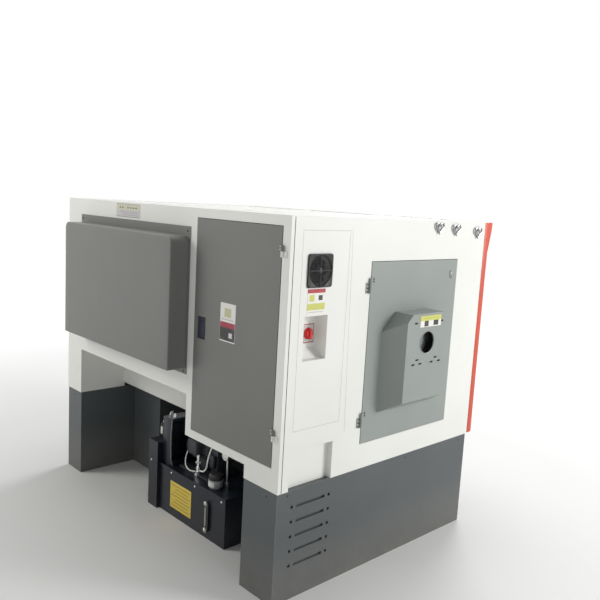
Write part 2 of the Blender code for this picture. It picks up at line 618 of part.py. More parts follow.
def build_end_door():
    t0, t1, z0, z1 = END_DOOR
    pivot = at(-0.0075, END_PIVOT, z0 + 0.4425)
    span = (t0 + DOOR_GAP, t1 - DOOR_GAP)
    door = make_box("end_door", (-DOOR_PROUD, SHEET - DOOR_PROUD), span, (z0 + DOOR_GAP, z1 - DOOR_GAP), origin=pivot)
    cut(door, make_box("cover_opening", (-0.1, 0.1), (AXIS_T - 0.145, AXIS_T + 0.145), (AXIS_Z - 0.253, AXIS_Z + 0.107),
                       group=CUTTERS))
    for z in END_HINGES:
        name = "end_knuckle_" + str(round(1000 * z))
        low = z + HINGE_HALF + FIT
        plate = make_box(name + "_leaf", (-0.0045, -0.001), (END_PIVOT + 0.001, END_PIVOT + 0.035), (low, low + 0.022),
                         group=CUTTERS)
        roll = make_lathe(name, [(0.0, 0.007), (0.022, 0.007)], at(-0.0075, END_PIVOT, low), (0, 0, 1), 14, CUTTERS)
        fuse(door, plate, roll)
    finish(door, MID_GREY, 0.42)

    base = -DOOR_PROUD - FIT
    face = -SPINDLE_COVER_DEPTH
    wall = 0.004
    cover = loft_cover("spindle_cover", base, face, 0.0, PARTS, pivot)
    hollow = loft_cover("cover_hollow", base + 0.002, face + wall, wall, CUTTERS, pivot)
    centre = at(0.0, AXIS_T, AXIS_Z)
    bore = make_lathe("cover_bore", [(-0.2, 0.055), (-0.05, 0.055)], centre, (1, 0, 0), 36, CUTTERS)
    slots = []
    for t, z in ((-0.07, -0.083), (-0.099, -0.105), (-0.043, -0.105), (0.079, -0.084), (0.049, -0.105),
                 (0.110, -0.105), (-0.096, 0.101), (0.110, 0.101)):
        slots.append(((-0.2, -0.05), (AXIS_T + t - 0.012, AXIS_T + t + 0.012), (AXIS_Z + z - 0.004, AXIS_Z + z + 0.004)))
    finish(cut(cover, hollow, bore, make_boxes("cover_slots", slots)), MID_GREY, 0.42)

    for name, z in zip(("end_hinge_lower", "end_hinge_upper"), END_HINGES):
        pin = make_lathe(name, [(-HINGE_HALF, 0.007), (HINGE_HALF, 0.007)], at(-0.0075, END_PIVOT, z), (0, 0, 1), 14)
        leaf = make_box(name + "_leaf", (-0.0035, -FIT), (END_PIVOT - 0.026, END_PIVOT - 0.001),
                        (z - HINGE_HALF, z + HINGE_HALF), group=CUTTERS)
        finish(fuse(pin, leaf), MID_GREY, 0.4)

    t, z = t1 - 0.0538, z1 - 0.074
    centre = at(base, t, z)
    latch = make_lathe("end_latch", [(0.0, 0.014), (0.004, 0.013), (0.004, 0.009), (0.006, 0.009)], centre, (-1, 0, 0), 20)
    bar = make_box("latch_bar", (base - 0.008, base - 0.003), (t - 0.004, t + 0.004), (z - 0.012, z + 0.012),
                   group=CUTTERS)
    finish(fuse(latch, bar), BLACK, 0.4)


def loft_cover(name, base, face, inset, group, origin):
    """The spindle-end cover: wider and longer where it meets the door, with cut top corners."""
    shapes = []
    for s, half, drop, corner in ((base, 0.218, 0.353, 0.092), (face, 0.162, 0.291, 0.038)):
        t0, t1 = AXIS_T - half + inset, AXIS_T + half - inset
        z0, z1 = AXIS_Z - drop + inset, AXIS_Z + 0.145 - inset
        shapes.append([at(s, t, z) for t, z in ((t0, z0), (t1, z0), (t1, z1 - corner), (t1 - corner, z1),
                                                (t0 + corner, z1), (t0, z1 - corner))])
    bm = bmesh.new()
    fill_prism(bm, range(6), lambda k: shapes[0][k], lambda k: shapes[1][k])
    return add_object(name, bm, origin, group)


def build_fan():
    half = FAN_SIDE / 2
    guard = make_box("fan_guard", (-0.0083, -FIT), (FAN_T - half, FAN_T + half), (FAN_Z - half, FAN_Z + half))
    bm = bmesh.new()
    for inner, outer in ((0.014, 0.022), (0.026, 0.034), (0.038, 0.046), (0.050, 0.059)):
        for quarter in range(4):
            fill_sector(bm, inner, outer, quarter)
    slots = add_object("guard_slots", bm, at(0.0, FAN_T, FAN_Z), CUTTERS)
    finish(cut(guard, slots), BLACK, 0.5)

    centre = at(0.0, FAN_T, FAN_Z)
    rotor = make_lathe("fan_rotor", [(0.0, 0.012), (0.004, 0.012), (0.004, 0.020), (0.028, 0.020)], centre, (1, 0, 0), 20)
    for index in range(7):
        blade = make_blade("blade_" + str(index), centre, 2 * math.pi * index / 7)
        fuse(rotor, blade)
    finish(rotor, BLACK, 0.55)


def fill_sector(bm, inner, outer, quarter):
    margin = 0.0035
    steps = 7
    points = []
    for radius, order in ((inner, range(steps + 1)), (outer, range(steps, -1, -1))):
        lead = math.asin(margin / radius)
        for k in order:
            angle = quarter * math.pi / 2 + lead + (math.pi / 2 - 2 * lead) * k / steps
            points.append((FAN_T + radius * math.cos(angle), FAN_Z + radius * math.sin(angle)))
    fill_prism(bm, points, lambda p: at(-0.02, *p), lambda p: at(0.01, *p))


def make_blade(name, centre, angle):
    bm = bmesh.new()
    place = (Matrix.Translation(centre + Vector((0.0155, 0, 0))) @ Matrix.Rotation(angle, 4, "X")
             @ Matrix.Translation((0, 0, 0.036)) @ Matrix.Rotation(math.radians(35), 4, "Z")
             @ Matrix.Diagonal((0.002, 0.028, 0.042, 1.0)))
    bmesh.ops.create_cube(bm, size=1.0, matrix=place)
    return add_object(name, bm, centre.copy(), CUTTERS)


def build_front():
    front = (BODY_DEPTH - 0.025, BODY_DEPTH)
    frame = make_box("front_frame", (END_FRAME + FIT, BODY_LENGTH - END_FRAME - FIT), front, (BASE_HEIGHT, BODY_HEIGHT))
    s0, s1, z0, z1 = FRONT_OPENING
    through = (BODY_DEPTH - 0.1, BODY_DEPTH + 0.1)
    cut(frame, make_box("front_opening", (s0, s1), through, (z0, z1), group=CUTTERS))
    for index, low in enumerate((z1 + 0.036, z0 - 0.052)):
        fuse(frame, make_box("door_rail_" + str(index), (END_FRAME + FIT, s1 + 0.05),
                             (BODY_DEPTH - 0.002, BODY_DEPTH + 0.038), (low, low + 0.016), group=CUTTERS))
    finish(frame, WHITE, 0.4)

    slab = (BODY_DEPTH + 0.003, BODY_DEPTH + 0.033)
    door = make_box("front_door", (s0 - 0.035, s1 + 0.035), slab, (z0 - 0.036 + FIT, z1 + 0.034))
    pane = ((s0 + 0.045, s1 - 0.065), (z0 + 0.07, z1 - 0.06))
    cut(door, make_box("door_pane_opening", pane[0], through, pane[1], group=CUTTERS))
    finish(door, RED, 0.4)
    glass = make_box("door_window", (pane[0][0] + FIT, pane[0][1] - FIT), (slab[0] + 0.006, slab[1] - 0.006),
                     (pane[1][0] + FIT, pane[1][1] - FIT))
    finish(glass, BLACK, 0.1)
    out = slab[1] + FIT
    middle = (z0 + z1) / 2
    handle = make_box("door_handle", (s1 - 0.025, s1 - 0.003), (out + 0.030, out + 0.042), (middle - 0.18, middle + 0.16))
    posts = [make_box("handle_post_" + str(index), (s1 - 0.022, s1 - 0.006), (out, out + 0.036), span, group=CUTTERS)
             for index, span in enumerate(((middle - 0.17, middle - 0.15), (middle + 0.13, middle + 0.15)))]
    finish(bevel(fuse(handle, *posts), 0.002), STEEL, 0.2, 1.0)

    roof = make_box("roof", (END_FRAME + FIT, BODY_LENGTH - END_FRAME - FIT), (SHEET + FIT, front[0] - FIT),
                    (BODY_HEIGHT - 0.02, BODY_HEIGHT - 0.005))
    finish(roof, WHITE, 0.45)


def build_tail_end():
    inner = BODY_LENGTH - END_FRAME
    panel = make_box("tail_panel", (inner, BODY_LENGTH), (SHEET + FIT, BODY_DEPTH), (BASE_HEIGHT, BODY_HEIGHT))
    t0, t1, z0, z1 = 0.35, BODY_DEPTH - 0.3536, BASE_HEIGHT + 0.318, BODY_HEIGHT - 0.30
    rebate = make_box("tail_rebate", (BODY_LENGTH - 0.008, BODY_LENGTH + 0.1), (t0, t1), (z0, z1), group=CUTTERS)
    finish(cut(panel, rebate), WHITE, 0.4)
    cover = make_box("tail_cover", (BODY_LENGTH - 0.008 + FIT, BODY_LENGTH - FIT), (t0 + 0.003, t1 - 0.003),
                     (z0 + 0.003, z1 - 0.003))
    finish(cover, DARK_GREY, 0.45)


def build_controls():
    s0, s1, z0, z1 = CONTROL
    back = BODY_DEPTH + FIT
    outline = [(s0, back), (s1, back), (s1, back + 0.046), (s1 - 0.06, CONTROL_FRONT), (s0, CONTROL_FRONT)]
    finish(along_z("control_box", outline, (z0, z1)), PANEL_BLUE, 0.45)

    face = (CONTROL_FRONT + FIT, CONTROL_FRONT + CONTROL_FACE)
    raised = (face[1] - 0.001, face[1] + 0.002)
    panel = make_box("control_face", (s0 + 0.01, s1 - 0.07), face, (z0 + 0.01, z1 - 0.01))
    keys = [((s0 + 0.03, s0 + 0.25), raised, (z0 + 0.33, z0 + 0.50))]
    keys += [((s0 + 0.034 + 0.036 * k, s0 + 0.062 + 0.036 * k), raised, (z0 + 0.30, z0 + 0.314)) for k in range(6)]
    for row in range(6):
        for column in range(5):
            left = s0 + 0.275 + 0.036 * column
            low = z0 + 0.30 + 0.034 * row
            keys.append(((left, left + 0.028), raised, (low, low + 0.026)))
    for row in range(3):
        for column in range(11):
            left = s0 + 0.03 + 0.0385 * column
            low = z0 + 0.13 + 0.05 * row
            keys.append(((left, left + 0.028), raised, (low, low + 0.028)))
    fuse(panel, make_boxes("key_blocks", keys))
    row_z = z0 + 0.065
    for name, s in (("estop_hole", s0 + 0.36), ("start_hole", s0 + 0.435)):
        hole = make_lathe(name, [(-0.02, 0.0085), (0.02, 0.0085)], at(s, face[1], row_z), (0, -1, 0), 20, CUTTERS)
        cut(panel, hole)
    finish(panel, PANEL_BLUE, 0.4)

    stop = make_lathe("estop_button", [(-0.0005, 0.008), (0.008, 0.008), (0.008, 0.019), (0.016, 0.020), (0.0215, 0.013)],
                      at(s0 + 0.36, face[1], row_z), (0, -1, 0), 28)
    finish(stop, RED, 0.35)
    start = make_lathe("start_button", [(-0.0005, 0.008), (0.008, 0.008), (0.008, 0.012), (0.014, 0.011)],
                       at(s0 + 0.435, face[1], row_z), (0, -1, 0), 20)
    finish(start, BLACK, 0.4)
    finish(build_knob("override_dial", s0 + 0.27, face[1] + FIT, row_z, 0.023), (0.7, 0.7, 0.68), 0.4)
    for letter, offset in zip("abc", (0.05, 0.12, 0.19)):
        finish(build_knob("selector_" + letter, s0 + offset, face[1] + FIT, row_z, 0.016), BLACK, 0.4)

    front = BODY_DEPTH + FRONT_REACH
    low = TRAY_BOTTOM
    high = z0 - FIT
    side = [(back, low), (back + 0.07, low), (front, low + 0.13), (front, high), (back, high)]
    tray = along_s("pocket_tray", side, (s0, s1 - 0.03))
    mouth = rounded_outline((s0 + 0.06, high - 0.115), (s1 - 0.12, high - 0.025), 0.02, ("tl", "tr", "bl", "br"), 3)
    pocket = along_t("tray_pocket", mouth, (back + 0.03, front + 0.1), group=CUTTERS)
    finish(cut(tray, pocket), WHITE, 0.4)
    build_grab_handle(s1, back, z0 + 0.28)


def build_knob(name, s, t, z, radius):
    centre = at(s, t, z)
    knob = make_lathe(name, [(0.0, radius), (0.004, radius), (0.006, radius * 0.8), (0.017, radius * 0.75)], centre,
                      (0, -1, 0), 24)
    pointer = make_box(name + "_pointer", (s - 0.003, s + 0.003), (t + 0.012, t + 0.0195), (z - radius * 0.6, z + radius * 0.7),
                       group=CUTTERS)
    return fuse(knob, pointer)


def build_grab_handle(s1, back, height):
    """A D-shaped bar on the slanted right side of the control box."""
    out = Vector((CONTROL_FRONT - back - 0.046, -0.06, 0.0)).normalized()
    middle = at(s1 - 0.03, (back + 0.046 + CONTROL_FRONT) / 2, height)
    start = middle + out * FIT
    path = bpy.data.curves.new("grab_handle", "CURVE")
    path.dimensions = "3D"
    path.bevel_depth = 0.0065
    path.bevel_resolution = 2
    path.use_fill_caps = True
    spline = path.splines.new("POLY")
    bend = 0.015
    places = [(0.0, -0.14), (0.028, -0.14), (0.028 + bend * 0.7, -0.14 + bend * 0.3), (0.028 + bend, -0.14 + bend),
              (0.028 + bend, 0.14 - bend), (0.028 + bend * 0.7, 0.14 - bend * 0.3), (0.028, 0.14), (0.0, 0.14)]
    spline.points.add(len(places) - 1)
    for point, (reach, rise) in zip(spline.points, places):
        point.co = (*(out * reach + Vector((0, 0, rise))), 1.0)
    obj = bpy.data.objects.new("grab_handle", path)
    obj.location = start
    PARTS.objects.link(obj)
    finish(obj, STEEL, 0.15, 1.0)


def build_hydraulic_unit():
    rear = UNIT_REAR
    tank = make_box("hpu_tank", (0.545, 1.20), (rear, rear + 0.36), (0.0, 0.27))
    block = make_box("tank_block", (1.17, 1.262), (rear - 0.02, rear + 0.18), (0.0, 0.395), group=CUTTERS)
    lid = make_box("tank_lid", (0.54, 1.18), (rear - 0.005, rear + 0.365), (0.262, 0.275), group=CUTTERS)
    shape = rounded_outline((0.682, 0.045), (0.716, 0.205), 0.016, ("tl", "tr", "bl", "br"), 4)
    gauge = along_t("tank_gauge", shape, (rear - 0.012, rear + 0.005), group=CUTTERS)
    finish(fuse(tank, block, lid, gauge), UNIT_BLACK, 0.4)

    seat = 0.275 + FIT
    cooler = make_box("hpu_cooler", (1.085, 1.17 - FIT), (rear + 0.01, rear + 0.22), (seat, UNIT_TOP))
    grooves = [((1.05, 1.2), (rear + 0.032 + 0.024 * k, rear + 0.040 + 0.024 * k), (0.32, UNIT_TOP - 0.02)) for k in range(7)]
    finish(cut(cooler, make_boxes("cooler_grooves", grooves)), UNIT_BLACK, 0.45)

    plate = make_box("hpu_motor", (0.78, 1.05), (rear + 0.05, rear + 0.28), (seat, 0.287))
    axis = rear + 0.17
    body = make_lathe("motor_body", [(0.86, 0.06), (0.865, 0.075), (1.0, 0.075), (1.0, 0.08), (1.04, 0.08), (1.045, 0.06)],
                      at(0.0, axis, 0.40), (1, 0, 0), 28, CUTTERS)
    cradle = make_box("motor_cradle", (0.88, 0.99), (axis - 0.05, axis + 0.05), (0.28, 0.37), group=CUTTERS)
    pump = make_box("pump_block", (0.785, 0.87), (axis - 0.05, axis + 0.05), (0.28, 0.44), group=CUTTERS)
    terminal = make_box("unit_terminal", (0.90, 0.98), (axis - 0.11, axis - 0.04), (0.38, 0.46), group=CUTTERS)
    rod = make_lathe("valve_rod", [(0.28, 0.016), (0.33, 0.016), (0.33, 0.010), (0.40, 0.010), (0.40, 0.014), (0.43, 0.014)],
                     at(0.81, rear + 0.075, 0.0), (0, 0, 1), 16, CUTTERS)
    finish(fuse(plate, body, cradle, pump, terminal, rod), (0.03, 0.034, 0.036), 0.5)

    cap = make_lathe("hpu_cap", [(0.0, 0.034), (0.012, 0.034), (0.012, 0.042), (0.07, 0.042), (0.078, 0.036)],
                     at(0.70, rear + 0.05, seat), (0, 0, 1), 28)
    finish(cap, (0.05, 0.05, 0.055), 0.35)


clear_scene()
PARTS = collection("turning_lathe")
CUTTERS = collection("cutters")
build_base()
build_coolant_tank()
build_bed()
build_headstock()
build_drive()
build_slides()
build_tailstock()
build_guards()
build_rear()
build_cabinet()
build_end()
build_end_door()
build_fan()
build_front()
build_tail_end()
build_controls()
build_hydraulic_unit()
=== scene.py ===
import math

import bmesh
import bpy
import mathutils
import numpy as np
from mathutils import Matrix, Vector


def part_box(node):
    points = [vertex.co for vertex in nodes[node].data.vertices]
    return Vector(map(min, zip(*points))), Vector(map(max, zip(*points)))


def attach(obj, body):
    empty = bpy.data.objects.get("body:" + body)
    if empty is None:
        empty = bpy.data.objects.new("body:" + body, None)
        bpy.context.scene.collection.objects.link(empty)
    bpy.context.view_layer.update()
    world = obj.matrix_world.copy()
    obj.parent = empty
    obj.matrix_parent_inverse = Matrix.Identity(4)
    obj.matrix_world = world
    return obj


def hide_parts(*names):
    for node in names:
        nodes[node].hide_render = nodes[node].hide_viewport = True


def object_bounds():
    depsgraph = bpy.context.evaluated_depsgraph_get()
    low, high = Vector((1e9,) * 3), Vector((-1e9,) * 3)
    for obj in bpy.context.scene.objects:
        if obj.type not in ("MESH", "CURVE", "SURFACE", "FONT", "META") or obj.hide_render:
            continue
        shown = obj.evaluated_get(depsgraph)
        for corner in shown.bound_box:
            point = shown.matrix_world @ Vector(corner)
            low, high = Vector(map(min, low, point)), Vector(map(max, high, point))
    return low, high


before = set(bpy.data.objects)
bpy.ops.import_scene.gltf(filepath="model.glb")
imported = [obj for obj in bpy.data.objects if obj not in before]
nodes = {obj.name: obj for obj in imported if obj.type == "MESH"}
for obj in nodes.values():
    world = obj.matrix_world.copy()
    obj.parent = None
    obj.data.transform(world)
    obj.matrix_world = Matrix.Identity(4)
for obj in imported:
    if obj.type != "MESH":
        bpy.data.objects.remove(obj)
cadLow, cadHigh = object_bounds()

print("frame loaded:", len(nodes), "nodes")

# Places are written (s, t, z) in metres: s from the headstock end, t from the rear face, z up.
machine = {"headEnd": -0.98375, "rearFace": 0.76, "length": 2.0795, "depth": 1.4536, "height": 1.75,
    "axisT": 0.845, "axisZ": 1.153}


def spot(s, t, z):  # the point of the frame for a place on the machine
    s, t, z = np.broadcast_arrays(np.asarray(s, float), t, z)
    return np.stack([machine["headEnd"] + s, machine["rearFace"] - t, z], -1)


# A wall turns (a, b, out) into a point: a along it, b up it, out away from its surface. Each maker takes where
# the wall stands, and the name says which way it faces.
def facingRear(t):
    return lambda a, b, out: spot(a, t - out, b)


def facingFront(t):
    return lambda a, b, out: spot(a, t + out, b)


def facingHead(s):
    return lambda a, b, out: spot(s - out, a, b)


def facingTail(s):
    return lambda a, b, out: spot(s + out, a, b)


def facingUp(z):
    return lambda a, b, out: spot(a, b, z + out)


rearWall, tankFront, drivesWall = facingRear(0.0), facingRear(0.14), facingRear(0.4037)
endWall, coverFace = facingHead(0.0), facingHead(-0.112)
switchBack, turretFace = facingHead(0.0703), facingHead(0.955)
frontWall, controlWall = facingFront(machine["depth"]), facingFront(1.6003)
tailWall, chuckFace, alongAxis = facingTail(machine["length"]), facingTail(0.6648), facingTail(0.0)
roofWall, tankLid, upright = facingUp(machine["height"] - 0.005), facingUp(0.275), facingUp(0.0)


def gridFaces(rows, columns, loop=False):
    # every four neighbours of a grid make a face; columns always close, rows only on a loop
    r = np.arange(rows if loop else rows - 1)[:, None]
    c = np.arange(columns)[None, :]
    nextRow, nextColumn = (r + 1) % rows, (c + 1) % columns
    quads = [r * columns + c, r * columns + nextColumn, nextRow * columns + nextColumn, nextRow * columns + c]
    return np.stack(np.broadcast_arrays(*quads), -1).reshape(-1, 4).tolist()


def skin(rings, loop=False):
    # rings of points joined one to the next, with the first and last filled in unless they meet
    rings = np.asarray(rings, float)
    if not loop:  # a narrow band in the plane of each end keeps the end's shading flat
        ends = [ring * 0.92 + ring.mean(0) * 0.08 for ring in (rings[0], rings[-1])]
        rings = np.concatenate([[ends[0]], rings, [ends[1]]])
    rows, columns = rings.shape[:2]
    faces = gridFaces(rows, columns, loop)
    if not loop:
        faces += [list(range(columns)), [rows * columns - 1 - k for k in range(columns)]]
    return rings.reshape(-1, 3), faces


def join(*shapes):
    points, faces, count = [], [], 0
    for shape in shapes:
        points.append(shape[0])
        faces += [[k + count for k in face] for face in shape[1]]
        count += len(shape[0])
    return np.concatenate(points), faces


def roundedOutline(width, height, radius, steps=5):
    # a rectangle about the origin: at each corner a quarter circle of its own radius
    radius = np.broadcast_to(np.asarray(radius, float), 4)[:, None]
    side = np.array([[-1, -1], [1, -1], [1, 1], [-1, 1]])
    turn = np.radians(np.array([180, 270, 0, 90])[:, None] + np.linspace(0, 90, steps + 1)[None, :])
    across = side[:, :1] * (width / 2 - radius) + radius * np.cos(turn)
    up = side[:, 1:] * (height / 2 - radius) + radius * np.sin(turn)
    return np.stack([across.ravel(), up.ravel()], -1)


def pad(wall, centre, size, radius, levels, steps=5):
    # a rounded rectangle lifted off a wall; each level says how far out it is and how far in its edge has come
    radius = np.asarray(radius, float)
    rings = []
    for out, inset in levels:
        edge = roundedOutline(size[0] - 2 * inset, size[1] - 2 * inset, np.maximum(radius - inset, 0.0002),
            steps)
        rings.append(wall(centre[0] + edge[:, 0], centre[1] + edge[:, 1], out))
    return skin(rings)


def tile(wall, centre, size, thick, base=0.0003, edge=0.0006, radius=0.002, steps=3):
    return pad(wall, centre, size, radius, [(base, 0), (base + thick - edge, 0), (base + thick, edge)], steps)


def spun(wall, centre, profile, sides=24):
    # a profile of (out, radius) turned about the line that stands on the wall at the centre
    turn = np.linspace(0, 2 * np.pi, sides, endpoint=False)
    return skin([wall(centre[0] + r * np.cos(turn), centre[1] + r * np.sin(turn), out) for out, r in profile])


def hoop(wall, centre, out, ring, tube, sides=48, around=8):
    # a ring of round section: the tube's circle carried round the ring's
    u = np.linspace(0, 2 * np.pi, sides, endpoint=False)[:, None]
    v = np.linspace(0, 2 * np.pi, around, endpoint=False)[None, :]
    reach = ring + tube * np.cos(v)
    return skin(wall(centre[0] + reach * np.cos(u), centre[1] + reach * np.sin(u), out + tube * np.sin(v)),
        loop=True)


def bordered(wall, centre, outer, inner, section):
    # a frame between two outlines: each section point says the share of the way in and how far out it is
    rings = [wall(centre[0] + e[:, 0], centre[1] + e[:, 1], out) for share, out in section
        for e in [outer * (1 - share) + inner * share]]
    return skin(rings, loop=True)


def block(s, t, z, radius=0.002, steps=2):
    # a box with round edges: the corners of a smaller box, each carrying an eighth of a ball
    low, high = spot(s[0], t[1], z[0]), spot(s[1], t[0], z[1])
    half, centre = (high - low) / 2, (high + low) / 2
    radius = min(radius, *(0.49 * 2 * half))
    arc = np.radians(np.linspace(0, 90, steps + 1))
    turn = (np.radians(np.array([0, 90, 180, 270]))[:, None] + arc[None, :]).ravel()
    sideX = np.repeat([1, -1, -1, 1], steps + 1)
    sideY = np.repeat([1, 1, -1, -1], steps + 1)
    rise = np.concatenate([arc - np.pi / 2, arc])[:, None]
    sideZ = np.repeat([-1, 1], steps + 1)[:, None]
    x = sideX * (half[0] - radius) + radius * np.cos(rise) * np.cos(turn)
    y = sideY * (half[1] - radius) + radius * np.cos(rise) * np.sin(turn)
    z = sideZ * (half[2] - radius) + radius * np.sin(rise) + 0 * turn
    return skin(centre + np.stack([x, y, z], -1))


def swept(path, radius, sides=10, loop=False):
    # a circle carried along a path; the reference is the direction that the path leaves out most
    path = np.asarray(path, float)
    ahead = np.roll(path, -1, 0) - np.roll(path, 1, 0)
    if not loop:
        ahead[0], ahead[-1] = path[1] - path[0], path[-1] - path[-2]
    ahead /= np.linalg.norm(ahead, axis=1)[:, None]
    reference = np.linalg.svd(ahead)[2][-1]
    side = np.cross(ahead, reference)
    side /= np.linalg.norm(side, axis=1)[:, None]
    up = np.cross(side, ahead)
    turn = np.linspace(0, 2 * np.pi, sides, endpoint=False)[None, :, None]
    radius = np.broadcast_to(np.asarray(radius, float), len(path))[:, None, None]
    rings = path[:, None] + radius * (np.cos(turn) * side[:, None] + np.sin(turn) * up[:, None])
    return skin(rings, loop)


def smoothPath(points, count=40):
    # a path through the points, each stretch a cubic whose slopes come from the neighbours
    p = np.asarray(points, float)
    ends = np.vstack([2 * p[0] - p[1], p, 2 * p[-1] - p[-2]])
    where = np.linspace(0, len(p) - 1, count)
    k = np.minimum(where.astype(int), len(p) - 2)
    u = (where - k)[:, None]
    a, b, c, d = ends[k], ends[k + 1], ends[k + 2], ends[k + 3]
    return 0.5 * (2 * b + (c - a) * u + (2 * a - 5 * b + 4 * c - d) * u ** 2 + (3 * b - a - 3 * c + d) * u ** 3)


def screw(wall, a, b, base, radius=0.0045):
    # a domed head with a round socket
    h = radius * 0.62
    return spun(wall, (a, b), [(base, radius), (base + h * 0.45, radius), (base + h, radius * 0.68),
        (base + h, radius * 0.42), (base + h * 0.4, radius * 0.38)], 14)


def bentFilm(wall, centre, inner, outer, degrees, levels):
    # a film round part of a cylinder: its outline runs along the inner arc and back along the outer one
    arc = np.radians(degrees)
    return skin([np.concatenate([wall(centre[0] + r * np.cos(k), centre[1] + r * np.sin(k), out)
        for r, k in ((inner, arc), (outer, arc[::-1]))]) for out in levels])


def screws(wall, places, base, radius):
    return join(*[screw(wall, a, b, base, radius) for a, b in places])


def addPiece(name, shape, look, slot, body="machine", replaces=False, sharp=32):
    # the slot is the solid that the piece belongs to, and that it stands for where it replaces it
    mesh = bpy.data.meshes.new(name)
    mesh.from_pydata(shape[0].tolist(), [], shape[1])
    work = bmesh.new()
    work.from_mesh(mesh)
    bmesh.ops.remove_doubles(work, verts=work.verts, dist=1e-6)
    bmesh.ops.dissolve_degenerate(work, edges=work.edges, dist=1e-6)
    bmesh.ops.recalc_face_normals(work, faces=work.faces)
    work.to_mesh(mesh)
    work.free()
    mesh.shade_smooth()
    mesh.set_sharp_from_angle(angle=math.radians(sharp))
    mesh.materials.append(finishes[look] if isinstance(look, str) else look)
    piece = bpy.data.objects.new(name, mesh)
    bpy.context.scene.collection.objects.link(piece)
    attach(piece, body)
    if replaces:
        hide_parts(slot)
    return piece


class Shade:  # one output of a node, so that masks are written as sums and products
    def __init__(self, tree, socket):
        self.tree, self.socket = tree, socket

    def node(self, kind, settings, values, output=0):
        made = self.tree.nodes.new(kind)
        for key, value in settings.items():
            if key == "stops":
                ramp = made.color_ramp
                ramp.interpolation = "CONSTANT"
                while len(ramp.elements) < len(value):
                    ramp.elements.new(1.0)
                for element, (place, colour) in zip(ramp.elements, value):
                    element.position, element.color = place, (*colour, 1)
            else:
                setattr(made, key, value)
        for key, value in values.items():
            if isinstance(value, Shade):
                self.tree.links.new(value.socket, made.inputs[key])
            else:
                made.inputs[key].default_value = value
        return Shade(self.tree, made.outputs[output])

    def maths(self, operation, first, second=0.0, clamp=False):
        return self.node("ShaderNodeMath", {"operation": operation, "use_clamp": clamp}, {0: first, 1: second})

    def __add__(self, other):
        return self.maths("ADD", self, other)

    __radd__ = __add__

    def __sub__(self, other):
        return self.maths("SUBTRACT", self, other)

    def __rsub__(self, other):
        return self.maths("SUBTRACT", other, self)

    def __mul__(self, other):
        return self.maths("MULTIPLY", self, other)

    __rmul__ = __mul__

    def __truediv__(self, other):
        return self.maths("DIVIDE", self, other)

    def clip(self):
        return self.maths("ADD", self, 0.0, True)

    def least(self, other):
        return self.maths("MINIMUM", self, other)

    def most(self, other):
        return self.maths("MAXIMUM", self, other)

    def within(self, low, high):  # 1 between two values
        return self.maths("GREATER_THAN", self, low) * self.maths("LESS_THAN", self, high)

    def part(self, axis):
        return self.node("ShaderNodeSeparateXYZ", {}, {0: self}, axis)

    def stretched(self, scale):
        return self.node("ShaderNodeMapping", {}, {"Vector": self, "Scale": scale})

    def noise(self, scale, detail=2.0, rough=0.5):
        return self.node("ShaderNodeTexNoise", {}, {"Vector": self, "Scale": scale, "Detail": detail,
            "Roughness": rough})

    def blend(self, first, second):  # a colour between two, by this mask
        full = [(*c, 1) if isinstance(c, tuple) else c for c in (first, second)]
        return self.node("ShaderNodeMix", {"data_type": "RGBA"}, {0: self, 6: full[0], 7: full[1]}, 2)


def startFinish(name, **fixed):
    material = bpy.data.materials.new(name)
    material.use_nodes = True
    shader = material.node_tree.nodes["Principled BSDF"]
    for key, value in fixed.items():
        shader.inputs[key.replace("_", " ")].default_value = value
    coords = material.node_tree.nodes.new("ShaderNodeTexCoord")
    return material, shader, Shade(material.node_tree, coords.outputs["Object"])


def feed(shader, **shades):
    for key, shade in shades.items():
        shade.tree.links.new(shade.socket, shader.inputs[key.replace("_", " ")])


def edgeNearness(place, low, high, width):
    # a point of a box scores where it is near two of its faces at once
    near = []
    for axis in range(3):
        part = place.part(axis)
        gap = (part - float(low[axis])).least(float(high[axis]) - part)
        near.append((1.0 - gap * (1.0 / width)).clip())
    return (near[0] * near[1] + near[1] * near[2] + near[0] * near[2]).clip()


